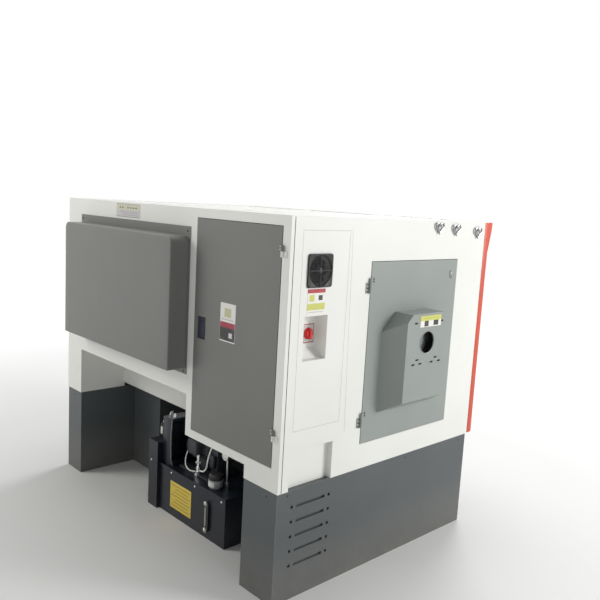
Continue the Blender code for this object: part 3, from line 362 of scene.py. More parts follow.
styles = {
    "white": dict(colour=(0.795, 0.8, 0.765), shade=(0.735, 0.74, 0.7), under=(0.42, 0.41, 0.38), rough=0.34,
                  peel=0.25, wear=0.22, dust=0.1),
    "darkGrey": dict(colour=(0.168, 0.171, 0.16), shade=(0.15, 0.153, 0.143), under=(0.3, 0.3, 0.29), rough=0.38,
                     peel=0.3, wear=0.3, dust=0.06),
    "midGrey": dict(colour=(0.285, 0.312, 0.296), shade=(0.252, 0.276, 0.262), under=(0.5, 0.5, 0.49), rough=0.36,
                    peel=0.3, wear=0.3, dust=0.06),
    "base": dict(colour=(0.088, 0.098, 0.101), shade=(0.072, 0.082, 0.087), under=(0.2, 0.2, 0.195), rough=0.42,
                 peel=0.35, wear=0.45, dust=0.3),
    "unit": dict(colour=(0.007, 0.011, 0.021), shade=(0.005, 0.008, 0.015), under=(0.06, 0.06, 0.06), rough=0.28,
                 peel=0.3, wear=0.5, dust=0.06),
    "cast": dict(colour=(0.2, 0.24, 0.22), shade=(0.16, 0.195, 0.18), under=(0.3, 0.3, 0.28), rough=0.5,
                 peel=1.0, wear=0.5, dust=0.12),
    "motor": dict(colour=(0.024, 0.029, 0.034), shade=(0.018, 0.022, 0.026), under=(0.12, 0.12, 0.12), rough=0.48,
                  peel=0.8, wear=0.5, dust=0.1),
    "red": dict(colour=(0.58, 0.052, 0.022), shade=(0.5, 0.04, 0.018), under=(0.3, 0.06, 0.04), rough=0.32,
                peel=0.25, wear=0.4, dust=0.05),
    "trim": dict(colour=(0.6, 0.072, 0.03), shade=(0.53, 0.06, 0.026), under=(0.5, 0.12, 0.08), rough=0.35,
                 peel=0.2, wear=0.3, dust=0.05),
    "panel": dict(colour=(0.06, 0.076, 0.098), shade=(0.05, 0.064, 0.084), under=(0.2, 0.2, 0.2), rough=0.38,
                  peel=0.4, wear=0.4, dust=0.05),
    "drives": dict(colour=(0.34, 0.35, 0.35), shade=(0.28, 0.29, 0.29), under=(0.5, 0.5, 0.5), rough=0.45,
                   peel=0.2, wear=0.2, dust=0.1),
}


def paint(name, style, low, high):
    # sprayed paint: a broad unevenness, fine orange peel, rubbed edges and dust that gathers low down
    look = styles[style]
    material, shader, place = startFinish(name, Specular_IOR_Level=0.45)
    broad = place.noise(1.7, 3.0, 0.55)
    patch = place.noise(11.0, 4.0, 0.6)
    colour = ((broad - 0.35) * 2.2).clip().blend(look["colour"], look["shade"])
    rub = (edgeNearness(place, low, high, 0.006) * (patch * 3.0 - 0.9)).clip() * look["wear"]
    colour = rub.blend(colour, look["under"])
    height = place.part(2)
    settle = ((0.3 - height) * 3.2).clip() * (0.25 + place.noise(13.0, 6.0, 0.7) * 1.1).clip()
    smudge = ((place.noise(4.5, 6.0, 0.7) - 0.62) * 5.0).clip() * 0.3
    dirt = (settle.most(smudge) * look["dust"]).clip()
    colour = dirt.blend(colour, (0.33, 0.3, 0.25))
    peel = place.noise(520.0, 1.0)
    bumps = place.node("ShaderNodeBump", {}, {"Strength": 0.1 * look["peel"], "Distance": 0.0006,
        "Height": peel})
    feed(shader, Base_Color=colour, Roughness=look["rough"] + dirt * 0.35 + patch * 0.08, Normal=bumps)
    return material


def castPaint(name, style, low, high):
    # thick paint over a sand casting: the paint above, with a coarse pitted skin
    material = paint(name, style, low, high)
    tree = material.node_tree
    shader = tree.nodes["Principled BSDF"]
    coords = next(n for n in tree.nodes if n.bl_idname == "ShaderNodeTexCoord")
    place = Shade(tree, coords.outputs["Object"])
    skinHeight = place.noise(160.0, 5.0, 0.7) + place.noise(24.0, 2.0) * 0.6
    bumps = place.node("ShaderNodeBump", {}, {"Strength": 0.5, "Distance": 0.0012, "Height": skinHeight})
    feed(shader, Normal=bumps)
    return material


def groundSteel(name, stretch=(400.0, 6.0, 6.0), rough=0.24, colour=(0.55, 0.56, 0.57)):
    # machined steel: fine streaks along the cut, with a few oil stains
    material, shader, place = startFinish(name, Metallic=1.0)
    streak = place.stretched(stretch).noise(1.0, 3.0, 0.6)
    stain = ((place.noise(16.0, 4.0, 0.6) - 0.55) * 4.0).clip()
    tint = stain.blend((streak * 0.9).clip().blend(tuple(c * 0.82 for c in colour), colour), (0.3, 0.27, 0.22))
    bumps = place.node("ShaderNodeBump", {}, {"Strength": 0.12, "Distance": 0.0004, "Height": streak})
    feed(shader, Base_Color=tint, Roughness=rough + streak * 0.14 + stain * 0.15, Normal=bumps)
    return material


def polished(name, colour=(0.72, 0.73, 0.74), rough=0.1):
    material, shader, place = startFinish(name, Metallic=1.0)
    haze = place.noise(30.0, 4.0, 0.6)
    feed(shader, Base_Color=haze.blend(tuple(c * 0.9 for c in colour), colour), Roughness=rough + haze * 0.08)
    return material


def moulded(name, colour, rough=0.42, grain=0.3):
    # moulded plastic: spark-eroded grain and a slight greyness where hands have been
    material, shader, place = startFinish(name, Specular_IOR_Level=0.45)
    patch = place.noise(22.0, 4.0, 0.6)
    tint = ((patch - 0.35) * 1.6).clip().blend(colour, tuple(c * 0.86 + 0.008 for c in colour))
    bumps = place.node("ShaderNodeBump", {}, {"Strength": grain * 0.4, "Distance": 0.0003,
        "Height": place.noise(900.0)})
    feed(shader, Base_Color=tint, Roughness=rough + patch * 0.12, Normal=bumps)
    return material


def glassLook(name, colour=(0.01, 0.012, 0.014), rough=0.05, coat=0.6):
    # smoked pane: dark and glossy, with faint smears
    material, shader, place = startFinish(name, Coat_Roughness=0.03, Specular_IOR_Level=0.6)
    smear = place.stretched((1.0, 1.0, 0.35)).noise(7.0, 5.0, 0.65)
    feed(shader, Base_Color=smear.blend(colour, tuple(c + 0.006 for c in colour)),
        Roughness=rough + smear * 0.09, Coat_Weight=coat - smear * 0.2)
    return material


def printed(name, axisLow, axisHigh, bands, marks=(), alongX=False, rough=0.32):
    # a printed film: fields of colour one above the other, with plain rectangles on them
    material, shader, place = startFinish(name, Specular_IOR_Level=0.5)
    up = place.part(2)
    side = place.part(0) if alongX else place.part(1)
    share = (up - axisLow) * (1.0 / (axisHigh - axisLow))
    colour = place.node("ShaderNodeValToRGB", {"stops": bands}, {"Fac": share})
    for (left, right, bottom, top), tint in marks:
        colour = (side.within(left, right) * up.within(bottom, top)).blend(colour, tint)
    age = place.noise(14.0, 4.0, 0.6)
    colour = ((age - 0.45) * 0.5).clip().blend(colour, (0.42, 0.4, 0.36))
    feed(shader, Base_Color=colour, Roughness=rough + age * 0.15)
    return material


def rubberLook(name, colour=(0.012, 0.012, 0.013)):
    material, shader, place = startFinish(name, Specular_IOR_Level=0.3)
    chalk = place.noise(60.0, 5.0, 0.7)
    bumps = place.node("ShaderNodeBump", {}, {"Strength": 0.25, "Distance": 0.0005,
        "Height": place.noise(700.0)})
    feed(shader, Base_Color=chalk.blend(colour, tuple(c * 2.6 + 0.004 for c in colour)),
        Roughness=0.6 + chalk * 0.25, Normal=bumps)
    return material


whole = (tuple(cadLow), tuple(cadHigh))
finishes = {
    "plasticBlack": moulded("blackMoulding", (0.006, 0.006, 0.008), 0.4),
    "plasticRed": moulded("redMoulding", (0.62, 0.028, 0.03), 0.28, 0.15),
    "plasticGrey": moulded("greyMoulding", (0.42, 0.43, 0.43), 0.4),
    "plasticPale": moulded("paleMoulding", (0.68, 0.68, 0.65), 0.4),
    "plasticYellow": moulded("yellowMoulding", (0.72, 0.52, 0.03), 0.38),
    "plasticBlue": moulded("blueMoulding", (0.03, 0.1, 0.34), 0.38),
    "plasticGreen": moulded("greenMoulding", (0.03, 0.22, 0.1), 0.38),
    "zinc": polished("zincPlate", (0.62, 0.62, 0.6), 0.26),
    "chrome": polished("brightChrome", (0.78, 0.79, 0.8), 0.06),
    "carbide": polished("coatedTip", (0.62, 0.45, 0.16), 0.3),
    "steel": groundSteel("groundSteel"),
    "hookGrey": polished("hookPlate", (0.36, 0.36, 0.37), 0.34),
    "darkScrew": polished("blackedScrew", (0.09, 0.09, 0.09), 0.36),
    "rubber": rubberLook("blackRubber"),
    "hoseWhite": rubberLook("paleHose", (0.52, 0.53, 0.5)),
    "hoseGrey": rubberLook("greyHose", (0.1, 0.105, 0.105)),
    "hoseBlack": rubberLook("hydraulicHose", (0.016, 0.016, 0.018)),
    "lens": glassLook("screenPane", (0.012, 0.016, 0.016), 0.06),
}

# what each solid of the frame is finished with
nodeStyles = {
    "white": ["rear_frame", "recess_liner", "cabinet_shell", "end_frame", "switch_pocket", "front_frame", "roof",
              "tail_panel", "pocket_tray", "guard_left", "guard_rear"],
    "darkGrey": ["cabinet_door", "tail_cover"],
    "midGrey": ["end_door", "spindle_cover", "end_hinge_lower", "end_hinge_upper"],
    "base": ["base_headstock", "base_tailstock", "base_skirt", "coolant_tank"],
    "unit": ["hpu_tank"],
    "red": ["front_door"],
    "panel": ["control_box"],
    "drives": ["drive_plate"],
}


def finishNodes():
    for style, names in nodeStyles.items():
        for name in names:
            coat(name, paint(name + "Paint", style, *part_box(name)))
    for name in ("slant_bed", "headstock", "saddle", "cross_slide", "tailstock"):
        coat(name, castPaint(name + "Paint", "cast", *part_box(name)))
    for name in ("spindle_motor", "hpu_motor"):
        coat(name, castPaint(name + "Paint", "motor", *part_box(name)))
    for name in ("z_screw", "quill", "turret", "chuck_jaw_a", "chuck_jaw_b", "chuck_jaw_c", "motor_pulley"):
        coat(name, groundSteel(name + "Steel", (6.0, 300.0, 300.0), 0.2))
    coat("chip_chute", groundSteel("chuteSteel", (8.0, 90.0, 90.0), 0.42, (0.42, 0.42, 0.41)))
    coat("drive_belt", finishes["rubber"])
    coat("door_window", glassLook("windowPane"))
    for name in ("grab_handle", "door_handle"):
        coat(name, finishes["chrome"])
    coat("fan_rotor", finishes["plasticBlack"])


def coat(name, material):
    slots = nodes[name].data.materials
    slots.clear()
    slots.append(material)


def buildFan():
    fan = dict(centre=(0.1785, 1.5163), side=0.1485, square=16, opening=0.069, hole=0.0612, depth=0.008,
        rings=8, firstRing=0.015, ringStep=0.0072, wire=0.0014, bar=0.0021, hub=0.011, screw=0.0655)
    c, d = fan["centre"], fan["depth"]
    turn = np.linspace(0, 2 * np.pi, 128, endpoint=False)
    way = np.stack([np.cos(turn), np.sin(turn)], -1)
    # the outline is a superellipse: cosine and sine to a high power, so nearly square with round corners
    reach = (np.abs(way) ** fan["square"]).sum(-1) ** (-1 / fan["square"])
    edge = fan["side"] / 2 * way * reach[:, None]
    shell = bordered(endWall, c, edge, fan["opening"] * way, [(0, 0.0003), (0, d - 0.0022), (0.06, d),
        (0.85, d), (1, d - 0.0015), (1, 0.0003)])
    backing = bordered(endWall, c, (fan["opening"] + 0.001) * way, fan["hole"] * way,
        [(0, 0.0003), (0, 0.0012), (1, 0.0012), (1, 0.0003)])
    parts = [shell, backing]
    for k in range(fan["rings"]):
        parts.append(hoop(endWall, c, d - 0.0022, fan["firstRing"] + fan["ringStep"] * k, fan["wire"], 64, 6))
    reach, wide = fan["opening"] + 0.001, fan["bar"]
    for turned in (False, True):
        size = (2 * reach, 2 * wide) if not turned else (2 * wide * 0.8, 2 * reach)
        parts.append(pad(endWall, c, size, 0.0008, [(0.002, 0), (d - 0.0012, 0), (d - 0.0004, 0.0006)], 2))
    parts.append(spun(endWall, c, [(0.0016, fan["hub"]), (d - 0.001, fan["hub"]), (d, fan["hub"] - 0.002)], 28))
    addPiece("fanGuard", join(*parts), "plasticBlack", "fan_guard", replaces=True)
    corners = [(c[0] + a * fan["screw"], c[1] + b * fan["screw"]) for a in (-1, 1) for b in (-1, 1)]
    addPiece("fanScrews", screws(endWall, corners, d - 0.0006, 0.0036), "plasticBlack", "fan_guard")


def buildEndPlates():
    # plain fields of colour where the machine carries its printed films
    white, red, yellow = (0.8, 0.79, 0.75), (0.42, 0.035, 0.05), (0.58, 0.59, 0.13)
    grey, dark = (0.5, 0.5, 0.49), (0.03, 0.03, 0.03)
    y = machine["rearFace"]
    film = printed("fanFilm", 1.325, 1.436, [(0.0, white), (0.17, yellow), (0.43, white), (0.84, red)],
        [((y - 0.212, y - 0.123, 1.333, 1.3365), grey), ((y - 0.155, y - 0.125, 1.382, 1.412), yellow),
        ((y - 0.205, y - 0.18, 1.386, 1.408), dark)])
    addPiece("fanFilm", tile(endWall, (0.1675, 1.3805), (0.108, 0.111), 0.0009, radius=0.003), film,
        "end_frame")

    plate = printed("switchFilm", 1.18, 1.27, [(0.0, (0.62, 0.62, 0.6))],
        [((y - 0.231, y - 0.1665, 1.182, 1.186), red), ((y - 0.231, y - 0.1665, 1.264, 1.268), red),
        ((y - 0.231, y - 0.2275, 1.182, 1.268), red), ((y - 0.17, y - 0.1665, 1.182, 1.268), red)])
    addPiece("switchPlate", tile(switchBack, (0.199, 1.225), (0.07, 0.092), 0.0014, radius=0.003), plate,
        "switch_pocket")
    knob = (0.195, 1.225)
    parts = [spun(switchBack, knob, [(0.002, 0.0265), (0.006, 0.0265), (0.0085, 0.024), (0.0085, 0.019),
        (0.016, 0.0175), (0.0172, 0.015)], 36), pad(switchBack, knob, (0.0125, 0.048), 0.004,
        [(0.012, 0), (0.0235, 0.0002), (0.0245, 0.0012)], 4)]
    addPiece("switchGrip", join(*parts), "plasticRed", "switch_knob", "main_switch", replaces=True)

    coverFilm = printed("coverFilm", 1.231, 1.287, [(0.0, white), (0.55, yellow)],
        [((y - 0.845, y - 0.812, 1.234, 1.262), dark), ((y - 0.925, y - 0.885, 1.236, 1.262), dark),
        ((y - 0.93, y - 0.8, 1.272, 1.276), (0.45, 0.46, 0.1))])
    addPiece("coverFilm", tile(coverFace, (0.864, 1.259), (0.168, 0.056), 0.0008, radius=0.002), coverFilm,
        "spindle_cover", "end_door")
    bore = (machine["axisT"], machine["axisZ"])
    rim = hoop(coverFace, bore, 0.0003, 0.0562, 0.0022, 64, 8)
    addPiece("coverRim", rim, paint("coverRimPaint", "midGrey", *whole), "spindle_cover", "end_door")


def buildHooks():
    # three small wire hooks: the heart curve, 16 sin cubed across and a sum of cosines up, bent from one wire
    hooks = dict(places=[(1.02, 1.716), (1.17, 1.708), (1.375, 1.695)], width=0.06, wire=0.0048, out=0.0082)
    turn = np.linspace(0, 2 * np.pi, 72, endpoint=False)
    across = 16 * np.sin(turn) ** 3 / 32 * hooks["width"]
    up = (13 * np.cos(turn) - 5 * np.cos(2 * turn) - 2 * np.cos(3 * turn) - np.cos(4 * turn)) / 32 * hooks["width"]
    parts = []
    for a, b in hooks["places"]:
        lift = hooks["out"] + 0.004 * np.clip(up / hooks["width"] * 2, 0, 1)
        parts.append(swept(endWall(a + across, b + up, lift), hooks["wire"], 8, loop=True))
        parts.append(pad(endWall, (a, b - 0.0015), (0.018, 0.026), 0.008,
            [(0.0003, 0), (0.006, 0), (0.0085, 0.003)], 4))
    addPiece("wireHooks", join(*parts), "hookGrey", "end_frame")


def buildEndHardware():
    for body, side, out in (("machine", 0.4965, 0.0035), ("end_door", 0.5365, 0.0045)):
        fixed = body == "machine"
        offsets = (-0.017, 0.0, 0.017) if fixed else (0.0305, 0.0415)
        places = [(side, z + k) for z in (0.77, 1.425) for k in offsets]
        addPiece("fixedLeafScrews" if fixed else "doorLeafScrews", screws(endWall, places, out, 0.0042),
            "darkScrew", "end_hinge_upper", body)
    # where the end's sheets are folded and butted: narrow lines standing a hair off the paint, their grey a painted
    # shade for the grooves there
    lines = [(0.071, 0.362, 1.69, 1.6915), (0.3608, 0.3622, 0.806, 1.6915), (0.071, 0.362, 0.8055, 0.807),
        (0.0702, 0.0716, 0.806, 1.6915)]
    seams = [tile(endWall, ((a + b) / 2, (c + d) / 2), (b - a, d - c), 0.0002, 0.0001, 0.00005, 0.0004, 2)
        for a, b, c, d in lines]
    slope = np.array([[0.3756, 1.7], [0.3768, 1.7], [0.4042, 0.745], [0.403, 0.745]])
    seams.append(skin([endWall(slope[:, 0], slope[:, 1], out) for out in (0.0001, 0.0003)]))
    addPiece("endSeamShade", join(*seams), moulded("seamPaintedShade", (0.4, 0.41, 0.39), 0.5), "end_frame")
    # a narrow dark strip down the end near its corner: painted shadow standing for the gap there
    gap = tile(endWall, (0.021, 1.1405), (0.0034, 1.212), 0.0003, 0.0001, 0.00005, 0.0006, 2)
    addPiece("cornerGapShadow", gap, moulded("gapPaintedShadow", (0.07, 0.068, 0.06), 0.6), "end_frame")
    # a folded angle down the front corner, with a gusset that widens towards the top
    gusset = np.array([[1.495, 1.59], [1.498, 1.59], [1.52, 1.7], [1.523, 1.7475], [1.495, 1.7475]])
    strip = join(block((-0.0016, 0.0335), (1.4539, 1.496), (0.535, 1.7475), 0.0022),
        skin([spot(s, gusset[:, 0], gusset[:, 1]) for s in (-0.001, 0.002)]))
    addPiece("edgeTrim", strip, paint("edgeTrimPaint", "trim", *whole), "front_door")
    heads = screws(endWall, ((0.066, 0.51), (0.9, 0.505), (1.38, 0.505)), -0.0048, 0.0042)
    addPiece("baseEndScrews", heads, "darkScrew", "base_headstock")


def buildEndLock():
    # an oval plate on the door, and the core that turns in it
    c = (1.16, 1.476)
    plate = pad(endWall, (c[0], c[1] - 0.006), (0.024, 0.046), 0.0118,
        [(0.0022, 0), (0.0034, 0), (0.0042, 0.001)], 8)
    addPiece("lockPlate", plate, paint("lockPlatePaint", "midGrey", *whole), "end_door", "end_door")
    ring = [hoop(endWall, c, 0.0043, 0.01, 0.0011, 32, 6), hoop(endWall, (c[0], c[1] - 0.02), 0.0043, 0.0062,
        0.0009, 28, 6)]
    addPiece("lockRings", join(*ring), "darkScrew", "end_door", "end_door")
    core = [spun(endWall, c, [(0.0024, 0.0086), (0.0052, 0.0086), (0.0062, 0.0074)], 28),
        pad(endWall, c, (0.0026, 0.012), 0.0008, [(0.0058, 0), (0.0072, 0), (0.0076, 0.0004)], 2)]
    addPiece("lockCore", join(*core), "zinc", "end_latch", "end_latch", replaces=True)


def buildRearCover():
    # a folded pan on a flange: the outline carried out to the face, round over the fold
    cover = dict(flange=(1.316, 1.2845, 1.178, 0.745), pan=(1.316, 1.276, 1.158, 0.668), corner=0.036,
        fold=0.005)
    x, z, w, h = cover["flange"]
    parts = [pad(rearWall, (x, z), (w, h), 0.003, [(0.0003, 0), (0.0024, 0), (0.0033, 0.0009)], 3)]
    x, z, w, h = cover["pan"]
    turn = np.radians(np.linspace(0, 90, 6))
    levels = [(0.0005, 0)] + [(0.11 - cover["fold"] * (1 - np.sin(k)), cover["fold"] * (1 - np.cos(k)))
        for k in turn]
    radius = np.array([0.007, 0.007, cover["corner"], cover["corner"]])
    parts.append(pad(rearWall, (x, z), (w, h), radius, levels, 9))
    addPiece("rearCoverPan", join(*parts), paint("rearCoverPaint", "darkGrey", *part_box("rear_cover")),
        "rear_cover", replaces=True)
    corners = [(s, z) for s in (0.752, 1.88) for z in (0.9265, 1.634)]
    addPiece("rearCoverBolts", screws(rearWall, corners, 0.003, 0.0055), "darkScrew", "rear_cover")


def buildRearPlates():
    x = machine["headEnd"]
    ink, pale, cream = (0.16, 0.165, 0.13), (0.58, 0.57, 0.56), (0.6, 0.59, 0.44)
    rows = [((x + 1.235, x + 1.4 + 0.018 * (k % 3), 1.678 + 0.0095 * k, 1.681 + 0.0095 * k),
        (0.36, 0.35, 0.36)) for k in range(3)]
    rows += [((x + 1.25 + 0.029 * k, x + 1.268 + 0.029 * k, 1.716, 1.724), ink) for k in range(7) if k != 4]
    film = printed("ratingFilm", 1.667, 1.741, [(0.0, ink), (0.05, pale), (0.55, cream), (0.95, ink)], rows,
        True)
    addPiece("ratingPlate", tile(rearWall, (1.347, 1.704), (0.258, 0.072), 0.001, radius=0.003), film,
        "rear_frame")
    rivets = [spun(rearWall, (1.347 + a, 1.704 + b), [(0.0012, 0.0024), (0.002, 0.002), (0.0024, 0.001)], 12)
        for a in (-0.124, 0.124) for b in (-0.031, 0.031)]
    addPiece("ratingRivets", join(*rivets), "zinc", "rear_frame")

    film = printed("doorFilm", 1.141, 1.323, [(0.0, (0.76, 0.75, 0.72)), (0.03, (0.018, 0.018, 0.02)),
        (0.365, (0.34, 0.022, 0.05)), (0.505, (0.74, 0.73, 0.69))],
        [((x + 0.34, x + 0.3465, 1.13, 1.33), (0.74, 0.73, 0.69)),
        ((x + 0.4595, x + 0.466, 1.13, 1.33), (0.74, 0.73, 0.69)),
        ((x + 0.378, x + 0.428, 1.258, 1.3), (0.5, 0.5, 0.3)), ((x + 0.36, x + 0.446, 1.244, 1.248),
        (0.45, 0.45, 0.44)), ((x + 0.366, x + 0.392, 1.162, 1.186), (0.6, 0.6, 0.6))], True)
    addPiece("doorFilm", tile(rearWall, (0.403, 1.232), (0.116, 0.182), 0.0009, base=0.0023, radius=0.003),
        film, "cabinet_door", "cabinet_door")


def buildRearHardware():
    latch = dict(s=0.61, z=1.173, thumb=1.15, button=1.203)
    parts = [pad(rearWall, (latch["s"], latch["z"]), (0.063, 0.105), 0.003,
        [(-0.0059, 0), (-0.0022, 0), (-0.0012, 0.001)], 3), pad(rearWall, (latch["s"], latch["thumb"]),
        (0.04, 0.046), 0.006, [(-0.002, 0), (0.0002, 0.0006), (0.0008, 0.002)], 4),
        spun(rearWall, (latch["s"], latch["button"]), [(-0.002, 0.0105), (-0.0002, 0.0105), (0.0004, 0.0095),
        (0.0004, 0.006), (-0.0008, 0.0058)], 24)]
    navy = moulded("latchMoulding", (0.011, 0.015, 0.036), 0.3, 0.15)
    addPiece("latchPaddle", join(*parts), navy, "cabinet_latch", "cabinet_latch", replaces=True)

    for name, s, offsets, body, node in (("cabinetLeafScrews", 0.027, (-0.02, -0.006), "machine", "rear_frame"),
            ("cabinetDoorScrews", 0.06, (0.006, 0.02), "cabinet_door", "cabinet_door")):
        places = [(s, z + k) for z in (0.792, 1.598) for k in offsets]
        addPiece(name, screws(rearWall, places, 0.0045, 0.0032), "zinc", node, body)
    addPiece("rearScrews", screws(rearWall, ((0.075, 0.5), (1.99, 0.5)), -0.003, 0.0042), "darkScrew",
        "rear_frame")


def buildUnit():
    x = machine["headEnd"]
    amber, brown = (0.74, 0.56, 0.06), (0.42, 0.28, 0.04)
    rows = [((x + 0.865 + 0.012 * (k % 2), x + 1.045 - 0.02 * (k % 3), 0.066 + 0.0195 * k, 0.072 + 0.0195 * k),
        brown) for k in range(7)]
    addPiece("tankFilm", tile(tankFront, (0.9535, 0.1275), (0.206, 0.155), 0.0009, radius=0.002),
        printed("tankFilm", 0.05, 0.205, [(0.0, amber)], rows, True), "hpu_tank")

    sight = dict(s=0.699, z=0.125, ends=(0.0505, 0.1995))
    frameEdges = roundedOutline(0.046, 0.17, 0.022, 8), roundedOutline(0.022, 0.128, 0.0105, 8)
    rim = bordered(tankFront, (sight["s"], sight["z"]), *frameEdges,
        [(0, 0.0003), (0, 0.012), (0.15, 0.0145), (0.8, 0.014), (1, 0.0122), (1, 0.0003)])
    addPiece("sightFrame", rim, "darkScrew", "hpu_tank")
    glass = join(pad(tankFront, (sight["s"], sight["z"]), (0.013, 0.106), 0.006,
        [(0.0105, 0), (0.0138, 0), (0.0146, 0.001)], 6), *[spun(tankFront, (sight["s"], z),
        [(0.012, 0.015), (0.015, 0.015), (0.0158, 0.014)], 28) for z in sight["ends"]])
    addPiece("sightGlass", glass, glassLook("sightPane", (0.3, 0.3, 0.27), 0.12), "hpu_tank")
    bolts = [spun(tankFront, (sight["s"], z), [(0.015, 0.0085), (0.0175, 0.0085), (0.0186, 0.0072),
        (0.0186, 0.0044), (0.0165, 0.0042)], 6) for z in sight["ends"]]
    bolts += [spun(tankLid, (s, t), [(0.0, 0.0068), (0.0052, 0.0068), (0.0062, 0.0056)], 6)
        for s, t in ((0.577, 0.3), (0.577, 0.488), (0.84, 0.488), (1.05, 0.488))]
    bolts += [screw(tankFront, s, 0.248, 0.0, 0.0062) for s in (0.577, 0.82, 1.05)]
    bolts.append(spun(facingRear(0.12), (1.232, 0.275), [(0.0, 0.0062), (0.004, 0.0056), (0.005, 0.004)], 14))
    addPiece("tankBolts", join(*bolts), "zinc", "hpu_tank")

    # the filler's cap: a bright skirt with a film round it, under a dark top whose edge is finely ribbed
    turn = np.linspace(0, 2 * np.pi, 240, endpoint=False)
    ribs = 0.0362 + 0.0011 * np.abs(np.sin(turn * 20))
    s, t = cap = (0.7, 0.19)
    skirt = spun(tankLid, cap, [(0.0006, 0.0335), (0.008, 0.0335), (0.0085, 0.0395), (0.01, 0.0402),
        (0.044, 0.0402), (0.0455, 0.039)], 64)
    addPiece("fillerSkirt", skirt, moulded("capMetal", (0.36, 0.365, 0.37), 0.22, 0.1), "hpu_cap", "filler_cap",
        replaces=True)
    top = skin([tankLid(s + (ribs - drop) * np.cos(turn), t + (ribs - drop) * np.sin(turn), out)
        for out, drop in ((0.045, 0.001), (0.046, 0.0), (0.069, 0.0), (0.0715, 0.0012), (0.0775, 0.008))])
    addPiece("fillerTop", top, "plasticBlack", "hpu_cap", "filler_cap")
    film = bentFilm(tankLid, cap, 0.0404, 0.0409, np.linspace(230, 300, 16), (0.0135, 0.039))
    addPiece("capFilm", film, moulded("capFilm", (0.72, 0.72, 0.7), 0.35), "hpu_cap", "filler_cap")

    cooler = [block((1.0853, 1.1695), (0.152, 0.358), (0.2756, 0.3), 0.003),
        block((1.0853, 1.1695), (0.152, 0.358), (0.528, 0.5495), 0.003),
        block((1.088, 1.167), (0.1505, 0.158), (0.28, 0.545), 0.003),
        block((1.088, 1.167), (0.352, 0.3595), (0.28, 0.545), 0.003),
        block((1.1, 1.156), (0.157, 0.353), (0.299, 0.53), 0.001)]
    cooler += [block((1.09, 1.166), (0.157, 0.353), (0.3035 + 0.0094 * k, 0.3055 + 0.0094 * k), 0.0005, 1)
        for k in range(24)]
    addPiece("oilCooler", join(*cooler), castPaint("coolerPaint", "unit", *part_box("hpu_cooler")), "hpu_cooler",
        replaces=True)
    top = [spun(facingUp(0.5495), (s, 0.19), [(0.0, 0.011), (0.01, 0.011), (0.01, 0.008), (0.022, 0.008),
        (0.023, 0.006)], 6) for s in (1.108, 1.145)]
    addPiece("coolerFittings", join(*top), "chrome", "hpu_cooler")

    buildMotor(turn)
    buildValves()
    buildGauge()


def buildGauge():
    gauge = dict(s=0.682, t=0.25, z=0.445, face=facingRear(0.24), needle=(0.0015, 0.018),
        band=(0.016, 0.014, 0.0115))
    s, t, z = gauge["s"], gauge["t"], gauge["z"]
    case = spun(gauge["face"], (s, z), [(-0.02, 0.024), (-0.018, 0.0265), (0.006, 0.0265), (0.009, 0.0275),
        (0.0105, 0.026), (0.0105, 0.0235), (0.0085, 0.023)], 36)
    stalk = swept(smoothPath([spot(s, t, k) for k in (0.421, 0.37, 0.32, 0.275)], 12), 0.0065, 12)
    nut = spun(tankLid, (s, t), [(0.0, 0.013), (0.016, 0.013), (0.018, 0.011)], 6)
    addPiece("pressureGauge", join(case, stalk, nut), "zinc", "hpu_motor")
    x, half, (reach, low, high) = machine["headEnd"] + s, gauge["needle"][0], gauge["band"]
    dial = printed("gaugeFace", 0.4, 0.46, [(0.0, (0.78, 0.78, 0.75))],
        [((x - half, x + half, z, z + gauge["needle"][1]), (0.02, 0.02, 0.02)),
        ((x - reach, x + reach, z - low, z - high), (0.35, 0.04, 0.04))], True)
    addPiece("gaugeFace", spun(gauge["face"], (s, z), [(0.008, 0.0228), (0.0088, 0.0226)], 36), dial,
        "hpu_motor")


def buildMotor(turn):
    motor = dict(axis=(0.31, 0.4), start=0.868, end=0.996, radius=0.0765, rib=0.0078, ribs=30)
    # the ribs: a circle whose radius rises with the cosine of many turns, carried along the motor
    wave = motor["radius"] + motor["rib"] * np.clip(np.cos(turn * motor["ribs"]), 0, 1) ** 0.5
    t, z = motor["axis"]
    rings = [spot(s, t + (wave - drop) * np.cos(turn), z + (wave - drop) * np.sin(turn))
        for s, drop in ((motor["start"] - 0.002, 0.004), (motor["start"], 0.0), (motor["end"], 0.0),
        (motor["end"] + 0.002, 0.004))]
    bells = [(0.852, 0.045), (0.8545, 0.064), (0.862, 0.073), (0.869, 0.0775), (0.995, 0.0775), (0.999, 0.085),
        (1.036, 0.085), (1.045, 0.078), (1.0475, 0.066), (1.0475, 0.02)]
    ends = [spot(s, t + r * np.cos(turn[::3]), z + r * np.sin(turn[::3])) for s, r in bells]
    parts = [skin(rings), skin(ends), block((0.78, 1.05), (0.19, 0.42), (0.2756, 0.287), 0.003),
        block((0.88, 0.99), (0.262, 0.358), (0.286, 0.345), 0.004)]
    parts += [block((s, s + 0.012), (0.255, 0.365), (0.286, 0.312), 0.003) for s in (0.885, 0.972)]
    addPiece("motorBody", join(*parts), castPaint("motorBodyPaint", "motor", *whole), "hpu_motor",
        replaces=True)
    box = [block((0.896, 0.984), (0.2, 0.262), (0.378, 0.462), 0.006),
        block((0.9, 0.98), (0.196, 0.201), (0.383, 0.457), 0.002),
        spun(upright, (0.94, 0.232), [(0.372, 0.011), (0.379, 0.011)], 6)]
    addPiece("motorTerminals", join(*box), moulded("terminalShell", (0.03, 0.034, 0.038), 0.45), "hpu_motor")
    pump = [block((0.786, 0.85), (0.262, 0.358), (0.2865, 0.44), 0.005),
        block((0.795, 0.835), (0.24, 0.262), (0.33, 0.4), 0.004), spun(upright, (0.83, 0.315),
        [(0.4385, 0.017), (0.452, 0.017), (0.456, 0.013)], 6)]
    addPiece("pumpBlock", join(*pump), castPaint("pumpPaint", "motor", *whole), "hpu_motor")


